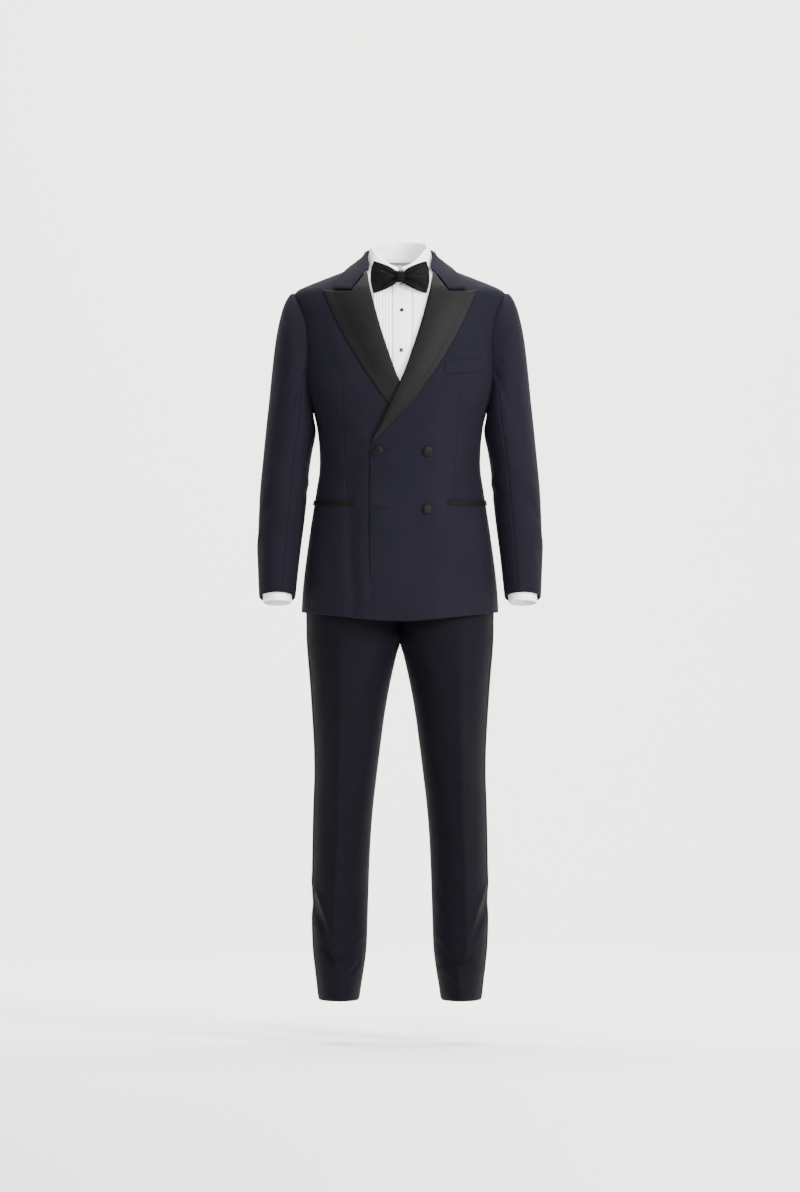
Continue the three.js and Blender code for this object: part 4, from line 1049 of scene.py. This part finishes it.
def on_trouser(across, z, side=1):
    """Across runs from 0 at the middle of the front to 1 at the side seam and 2 behind."""
    z = np.asarray(z, float)
    hip_in = -mix(HIP_IN, HIP_IN_LOW, ease((-600 - z) / 110))
    hip = torso(np.radians(-90 + 90 * across), z, hip_in)
    hip[..., 2] = z
    outer, inner, deep, middle_y, _, sharp = (curve(z) for curve in leg_curves.values())
    turn = np.radians(-180 + 180 * across)
    x = mix(inner, outer, (1 + np.cos(turn)) / 2)
    near = np.exp(-np.abs(x - crease_x(z, side)) / CREASE_WIDE)
    leg = stack(x, middle_y + (deep + sharp * (near - 0.4)) * np.sin(turn), z)
    share = ease((FORK_TOP_Z - z) / (FORK_TOP_Z - CROTCH_Z))[..., None]
    return mix(hip, leg, share)


def trouser(across, z, out, side=1):
    def surface(along, up):
        return on_trouser(along, up, side)

    inner = np.clip(across, 0.012, 1.988)
    point = face(surface, inner, z, out, (0.012, 1.0)) + surface(across, z) - surface(inner, z)
    point[..., 0] = np.maximum(point[..., 0], SEAM_GAP / 2)
    return point


def trouser_form(across, z, side):
    """The pressed crease, whose edge is crisp, and the folds of the fork, the knee and the break."""
    x = on_trouser(across, z, side)[..., 0]
    pressed = 2.0 * np.exp(-np.abs(x - crease_x(z, side)) / 3.2) * ease((CROTCH_Z + 30 - z) / 160)
    front = ease((1.1 - across) / 0.2)
    folds = creases(LEG_FOLDS, x, z) * mix(0.75, 1, front)
    folds = folds + creases(BREAK_FOLDS[side], x, z) * mix(0.3, 1, front)
    rim = np.minimum(1, across * 12) * np.minimum(1, (2 - across) * 12)
    hem = -1.8 * np.exp((TROUSER_HEM_Z - z) / 4)
    return (pressed + folds) * rim * ease((z - TROUSER_HEM_Z) / 14 + 0.35) + hem


LEG_REACH = 160
# A darker copy of the jacket's suiting: partly the cloth's own darker tone, partly painted shade for the
# lesser light on the legs.
trouser_wool = suiting("trouser_wool", depth=0.54)
for name, side in (("left", 1), ("right", -1)):
    for step, part in enumerate(("front", "back")):

        def spot(across, down, out, step=step, side=side):
            z = mix(TROUSER_TOP_Z, TROUSER_HEM_Z, down)
            seam = SEAM_GAP / 2 / LEG_REACH
            along = step + across + (seam * (1 - across) if step else -seam * across)
            point = trouser(along, z, out + trouser_form(along, z, side), side)
            inseam = across if step else 1 - across
            below = ease((CROTCH_Z + 20 - z) / 20)
            point[..., 1] += (1 if step else -1) * (inseam > 0.999) * below * SEAM_GAP / 2
            return point

        node = f"trouser_{part}_{name}"
        grid = (64, 220)
        piece_name = f"leg_{name}_{part}"
        lay(piece_name, node, grid, spot, TROUSER_CLOTH, trouser_wool, "trouser_wool", side=side)

# Waistband: a straight band of the same cloth, round the waist inside the jacket.
WAIST_Z = -432
BAND_HEIGHT = 38


def band_spot(across, down, out):
    z = WAIST_Z - down * BAND_HEIGHT
    point = torso(across * 2 * math.pi, z, out - HIP_IN)
    point[..., 2] = z
    return point


band_grid = (128, 10)
band_look = trouser_wool, "trouser_wool"
lay("waistband", "trouser_waistband", band_grid, band_spot, TROUSER_CLOTH, *band_look, joined=True)

# Side braid: a satin stripe sewn over each side seam, from the waistband to the hem. Its half width
# is a share of the panel under it, so it is 28 to 42 mm wide, widest on the thigh.
BRAID_HALF = 9
BRAID_CLOTH = 1.0
BRAID_REST = 0.4
HIP_GIRTH, LEG_GIRTH = 175, 120
GIRTH_FALL = 200
braid_satin = satin("braid_satin")
for name, side in (("left", 1), ("right", -1)):

    def spot(across, down, out, side=side):
        z = mix(TROUSER_TOP_Z, TROUSER_HEM_Z, down)
        fall = np.clip((FORK_TOP_Z - z) / GIRTH_FALL, 0, 1)
        girth = np.where(z > FORK_TOP_Z, HIP_GIRTH, mix(HIP_GIRTH, LEG_GIRTH, fall))
        along = 1 + (2 * across - 1) * BRAID_HALF / girth
        return trouser(along, z, out + trouser_form(along, z, side) + BRAID_REST + BRAID_CLOTH, side)

    node = f"side_braid_{name}"
    lay(f"braid_{name}", node, (8, 220), spot, BRAID_CLOTH, braid_satin, "braid", "laid", side, 0.6)

# Shirt: white cotton, inside the jacket and into the trousers, cut as two fronts and a back.
SHIRT_CLOTH = 1.0
SHIRT_IN = 8
SHIRT_IN_WAIST = 12
SHIRT_TAIL_Z = -590
SHIRT_TOP_Z = 4
FRONT_NECK_Z = -43
PLACKET_X = 4
NECK_SEAM = table(
    "z x",
    [
        (4, 69),
        (-10, 63),
        (-24, 45),
        (-31, 29),
        (-37, 15),
        (-41, 5),
        (-60, 4.5),
    ],
)
neck_x = through(NECK_SEAM, "z", "x")
WARP_PITCH, WEFT_PITCH = 0.0007, 0.0005
COTTON_DARK = (0.88, 0.885, 0.9)
COTTON_LIGHT = (0.95, 0.95, 0.955)


def poplin(name):
    """Poplin: a close plain weave, matte, very slightly blue."""
    cloth = Finish(name, roughness=0.75, sheen_weight=0.08)
    u, v, _ = cloth.place("UV")
    weave = (u * (2 * math.pi / WARP_PITCH)).math("SINE") * (v * (2 * math.pi / WEFT_PITCH)).math("SINE")
    cloud = cloth.noise("Object", 14.0, 3.0)
    cloth.set("Base Color", cloth.blend(weave * 0.2 + cloud, COTTON_DARK, COTTON_LIGHT))
    cloth.bump(weave * 0.5 + cloud * 1.5, 0.00012)
    return cloth


def shirt_in(z):
    return -mix(SHIRT_IN, SHIRT_IN_WAIST, ease((-370 - z) / 55))


def shirt(angle, z, out):
    return torso(angle, z, shirt_in(z) + out)


NECK_HALF, NECK_FRONT, NECK_BACK = 53.5, 61, 63


def neck(angle, z, out):
    depth = np.where(np.sin(angle) < 0, NECK_FRONT, NECK_BACK) + out
    return stack((NECK_HALF + out) * np.cos(angle), depth * np.sin(angle), z)


SHIRT_SHOULDER_SHARE = 0.2
SHIRT_ARM_SHARE = 0.45


def shirt_z(down):
    shoulder = mix(SHIRT_TOP_Z, SHOULDER_Z, down / SHIRT_SHOULDER_SHARE)
    step = np.clip((down - SHIRT_SHOULDER_SHARE) / SHIRT_ARM_SHARE, 0, 1) * ARM_STEPS / 2
    skirt = np.clip((down - SHIRT_SHOULDER_SHARE - SHIRT_ARM_SHARE) / 0.35, 0, 1)
    return np.where(down < SHIRT_SHOULDER_SHARE, shoulder, mix(arm_z(step), SHIRT_TAIL_Z, skirt)), step


def shirt_side(step, way):
    return np.where(step > 0, arm_angle(step if way < 0 else ARM_STEPS - step), 0)


cotton = poplin("cotton")
for name, side in (("left", 1), ("right", -1)):

    def spot(across, down, out, side=side):
        z, step = shirt_z(down)
        middle = side * PLACKET_X + SEAM_GAP / 2
        inner = front_angle(np.where(z > FRONT_NECK_Z, neck_x(z), middle), z)
        outer = shirt_side(step, -1) - SEAM_GAP / 2 / torso_half(z)
        return shirt(mix(inner, outer, across), z, out)

    node = f"shirt_front_{name}"
    lay(f"shirt_body_{name}", node, (40, 100), spot, SHIRT_CLOTH, cotton, "cotton", side=side)


YOKE_SHARE = 0.06
YOKE_Z = 6
YOKE_OUT = 3.8


def shirt_back_spot(across, down, out):
    z, step = shirt_z(np.clip((down - YOKE_SHARE) / (1 - YOKE_SHARE), 0, 1))
    edge = shirt_side(step, 1) + SEAM_GAP / 2 / torso_half(z)
    back = shirt(mix(edge, math.pi - edge, across), z, out)
    yoke = neck(math.pi * across, YOKE_Z + out, YOKE_OUT)
    return mix(yoke, back, np.minimum(1, down / YOKE_SHARE)[..., None])


lay("shirt_body_back", "shirt_back", (60, 90), shirt_back_spot, SHIRT_CLOTH, cotton, "cotton")

# Bib: six narrow tucks each side of a plain placket, down the middle of the chest, with two studs.
TUCKS = 6
TUCK_WIDTH = 6
TUCK_RISE = 1.7
BIB_X = 21
BIB_SHIFT = 4
BIB_FOOT_STEP = 8
STRIP_GAP = 1.2
PLACKET_HALF = 18
PLACKET_TOP_Z = -40
for name, side in (("left", 1), ("right", -1)):

    def spot(across, down, out, side=side):
        place = across * TUCKS
        within = place - np.floor(place - 1e-6)
        x = BIB_X + side * BIB_SHIFT + place * TUCK_WIDTH
        z = arm_z(down * BIB_FOOT_STEP)
        rise = TUCK_RISE * np.where(within < 0.8, (within / 0.8) ** 1.4, (1 - within) / 0.2)
        return shirt(front_angle(x, z), z, out + STRIP_GAP + SHIRT_CLOTH + rise)

    node = f"shirt_bib_{name}"
    lay(f"tucks_{name}", node, (TUCKS * 12, 60), spot, SHIRT_CLOTH, cotton, "cotton", "folded", side, 0.3)


def placket_spot(across, down, out):
    x = PLACKET_X + (2 * across - 1) * PLACKET_HALF
    z = mix(PLACKET_TOP_Z, arm_z(BIB_FOOT_STEP), down)
    ridge = 0.35 * np.exp(-(((np.abs(2 * across - 1) - 0.84) / 0.05) ** 2))
    return shirt(front_angle(x, z), z, out + STRIP_GAP + SHIRT_CLOTH + 1.2 - ridge)


lay("placket", "shirt_placket", (40, 60), placket_spot, SHIRT_CLOTH, cotton, "cotton", "folded")
onyx = Finish("onyx", roughness=0.18, coat_weight=0.2, coat_roughness=0.08)
ONYX_DARK = (0.0015, 0.0015, 0.002)
ONYX_LIGHT = (0.004, 0.004, 0.005)
onyx.set("Base Color", onyx.blend(onyx.noise("Object", 300.0), ONYX_DARK, ONYX_LIGHT))
STUD_REST = 1.6
STUD_RADIUS, STUD_THICK = 4, 2.6
STUDS = [("stud_upper", 3.6, -98), ("stud_lower", 2.8, -179)]
for node, x, z in STUDS:

    def seat(out, x=x, z=z):
        return shirt(front_angle(x, z), z, STRIP_GAP + SHIRT_CLOTH + STUD_REST + out)

    button(f"{node}_stone", node, STUD_RADIUS, STUD_THICK, seat, onyx, "onyx")

# Shirt sleeves and cuffs: inside the jacket's sleeves, with plain cuffs that show below them.
SHIRT_SLEEVE = table(
    "at row inset",
    [
        (0, 0, 0),
        (0.2, 1.5, 22),
        (0.4, 3.5, 9),
        (0.6, 6, 6),
        (0.8, 9, 6),
        (1, 11.35, 6),
    ],
)
for name, side in (("left", 1), ("right", -1)):

    def spot(across, down, out):
        turn = across * 2 * math.pi
        row = np.interp(down, SHIRT_SLEEVE["at"], SHIRT_SLEEVE["row"])
        inset = np.interp(down, SHIRT_SLEEVE["at"], SHIRT_SLEEVE["inset"])
        point = sleeve(turn, row, out - inset)
        armhole = shirt(arm_angle(across * ARM_STEPS), arm_z(across * ARM_STEPS), out)
        armhole = armhole + stack(1.6, 1.5 * np.sin(turn), -1.5 * np.cos(turn))
        return np.where((down < 0.2)[..., None], mix(armhole, point, (down / 0.2)[..., None]), point)

    node = f"shirt_sleeve_{name}"
    lay(f"shirt_arm_{name}", node, (60, 60), spot, SHIRT_CLOTH, cotton, "cotton", side=side, joined=True)
CUFF = table(
    "at z half deep x y",
    [
        (0, -634, 31, 45.3, 243.9, -27.4),
        (0.5, -658, 29.6, 43, 244.8, -30.8),
        (1, -682, 28.5, 41.5, 245.5, -33),
    ],
)
CUFF_TILT = 6
CUFF_STITCH_Z = 5
cuff_curves = {column: through(CUFF, "at", column) for column in CUFF if column != "at"}
for name, side in (("left", 1), ("right", -1)):

    def spot(across, down, out):
        turn = across * 2 * math.pi
        z, half, deep, x, y = (curve(down) for curve in cuff_curves.values())
        seam = 0.35 * np.exp(-(((z - CUFF["z"][-1] - CUFF_STITCH_Z) / 1.2) ** 2))
        reach = out - seam
        cos, sin = np.cos(turn), np.sin(turn)
        return stack(x + (half + reach) * cos, y - (deep + reach) * sin, z + CUFF_TILT * sin)

    node = f"shirt_cuff_{name}"
    lay(f"cuff_{name}", node, (96, 24), spot, SHIRT_CLOTH * 1.5, cotton, "cotton", side=side, joined=True)

# Shirt collar: a stand round the neck, with its leaf folded down over the tie's band.
SHIRT_COLLAR = table(
    "at top_turn top_z edge_turn edge_z inset foot",
    [
        (0, 90, 46, 90, 14, -9.5, 4),
        (0.3, 50, 44, 50, 13, -9.5, 3),
        (0.58, 0, 34, 0, 10, -11, 0),
        (0.68, -16, 26, -23, 3, -14, -5),
        (0.78, -34, 17, -43, -14, -4, -16),
        (0.92, -64, -4, -55, -40, -3.5, -26),
        (1, -88, -15, -64, -60, -3.5, -32),
    ],
)
LEAF_OUT = 5
LEAF_SHARE = 0.5
TURN_SHARE = 0.1
shirt_collar_curves = {
    column: through(SHIRT_COLLAR, "at", column) for column in SHIRT_COLLAR if column != "at"
}


def shirt_collar_spot(across, down, out):
    at = np.abs(2 * across - 1)
    top_turn, top_z, edge_turn, edge_z, inset, foot = (curve(at) for curve in shirt_collar_curves.values())
    leaf = np.clip(1 - down / LEAF_SHARE, 0, 1)
    turned = np.clip((down - LEAF_SHARE) / TURN_SHARE, 0, 1)
    stand = np.clip((down - LEAF_SHARE - TURN_SHARE) / (1 - LEAF_SHARE - TURN_SHARE), 0, 1)
    edge = torso(np.radians(edge_turn), edge_z, inset)
    level = mix(LEAF_OUT, -SHIRT_CLOTH, (1 - np.cos(math.pi * turned)) / 2)
    top = neck(np.radians(top_turn), top_z + 1.6 * np.sin(math.pi * turned), level)
    inner = neck(np.radians(top_turn), mix(top_z, foot, stand), level)
    point = np.where((down < LEAF_SHARE)[..., None], mix(top, edge, leaf[..., None]), top)
    point = np.where((stand > 0)[..., None], inner, point)
    flat = point * (1, 1, 0)
    facing = np.where(turned > 0.5, -1, 1)[..., None]
    reach = np.asarray(out)[..., None] / np.linalg.norm(flat, axis=-1, keepdims=True)
    point = point + facing * flat * reach
    point[..., 0] *= np.where(across < 0.5, 1, -1)
    return point


leaf_grid = (120, 40)
leaf_look = cotton, "cotton", "folded"
lay("shirt_collar_fold", "shirt_collar", leaf_grid, shirt_collar_spot, SHIRT_CLOTH, *leaf_look)

# Bow tie: black satin, two folded wings drawn into pleats at the knot, and a band round the neck.
TIE_Z = -33
TIE_Y = -98
WING_INNER_X, WING_OUTER_X = 7.5, 52.5
WING_INNER_HALF, WING_OUTER_HALF = 9.5, 32.6
WING_SPREAD = 0.58
WING_THICK = 4
WING_BULGE = 6.5
WING_PUFF = 5
WING_BACK = 4
WING_FOLDS = [
    # across, up, lean, half length, width, depth
    (0.22, 0.42, 24, 0.34, 0.13, -3.9),
    (0.5, 0.34, 6, 0.36, 0.16, 2.0),
    (0.26, -0.38, -26, 0.4, 0.14, -4.0),
    (0.62, -0.62, -50, 0.26, 0.13, -2.4),
    (0.45, 0.0, 0, 0.5, 0.16, 1.2),
]
tie_satin = satin("tie_satin", 2.0, 0.38, 0.03)
for name, side in (("left", 1), ("right", -1)):

    def spot(across, down, out, side=side):
        up = 1 - 2 * down
        bulge = WING_BULGE * across * (1 - up * up)
        half = mix(WING_INNER_HALF, WING_OUTER_HALF, across**WING_SPREAD)
        x = mix(WING_INNER_X, WING_OUTER_X, across) + bulge
        fold = creases(WING_FOLDS, across, up) + 0.7 * np.cos(up * 13 + side) * (1 - across) ** 3
        puff = WING_PUFF * np.sin(math.pi * np.minimum(1, across + 0.12)) * (1 - up * up * 0.8)
        y = TIE_Y + WING_BACK * across**1.6 - puff - fold - out
        return stack(x, y, TIE_Z + half * up)

    node = f"bow_wing_{name}"
    lay(f"wing_{name}", node, (60, 80), spot, WING_THICK, tie_satin, "satin", "gathered", side)
KNOT_PLACE = (0.5, -98, -33)
KNOT_PROFILE = table(
    "at radius z",
    [
        (0, 5.5, 10.8),
        (0.1, 7.6, 10.4),
        (0.25, 9.2, 7),
        (0.5, 9.9, 0),
        (0.75, 9.2, -7),
        (0.9, 7.6, -10.4),
        (1, 5.5, -10.8),
    ],
)
KNOT_DEEP = 1.1
KNOT_PLEATS = 0.35
knot_radius, knot_z = through(KNOT_PROFILE, "at", "radius"), through(KNOT_PROFILE, "at", "z")


def knot_spot(across, down, out):
    turn = across * 2 * math.pi
    radius = knot_radius(down) + out + KNOT_PLEATS * np.cos(turn * 11 + down * 3)
    spot = stack(radius * np.cos(turn), KNOT_DEEP * radius * np.sin(turn), knot_z(down))
    return spot + np.array(KNOT_PLACE)


lay("knot", "bow_knot", (72, 24), knot_spot, 1.0, tie_satin, "satin", "folded", edge=0, joined=True)


def tie_band_spot(across, down, out):
    turn = across * 2 * math.pi
    z = mix(-30, 36, ((np.sin(turn) + 1) / 2) ** 0.8) - down * 9
    return neck(turn, z, 2.4 + out)


lay("tie_band", "bow_band", (96, 6), tie_band_spot, 0.8, tie_satin, "satin", edge=0, joined=True)
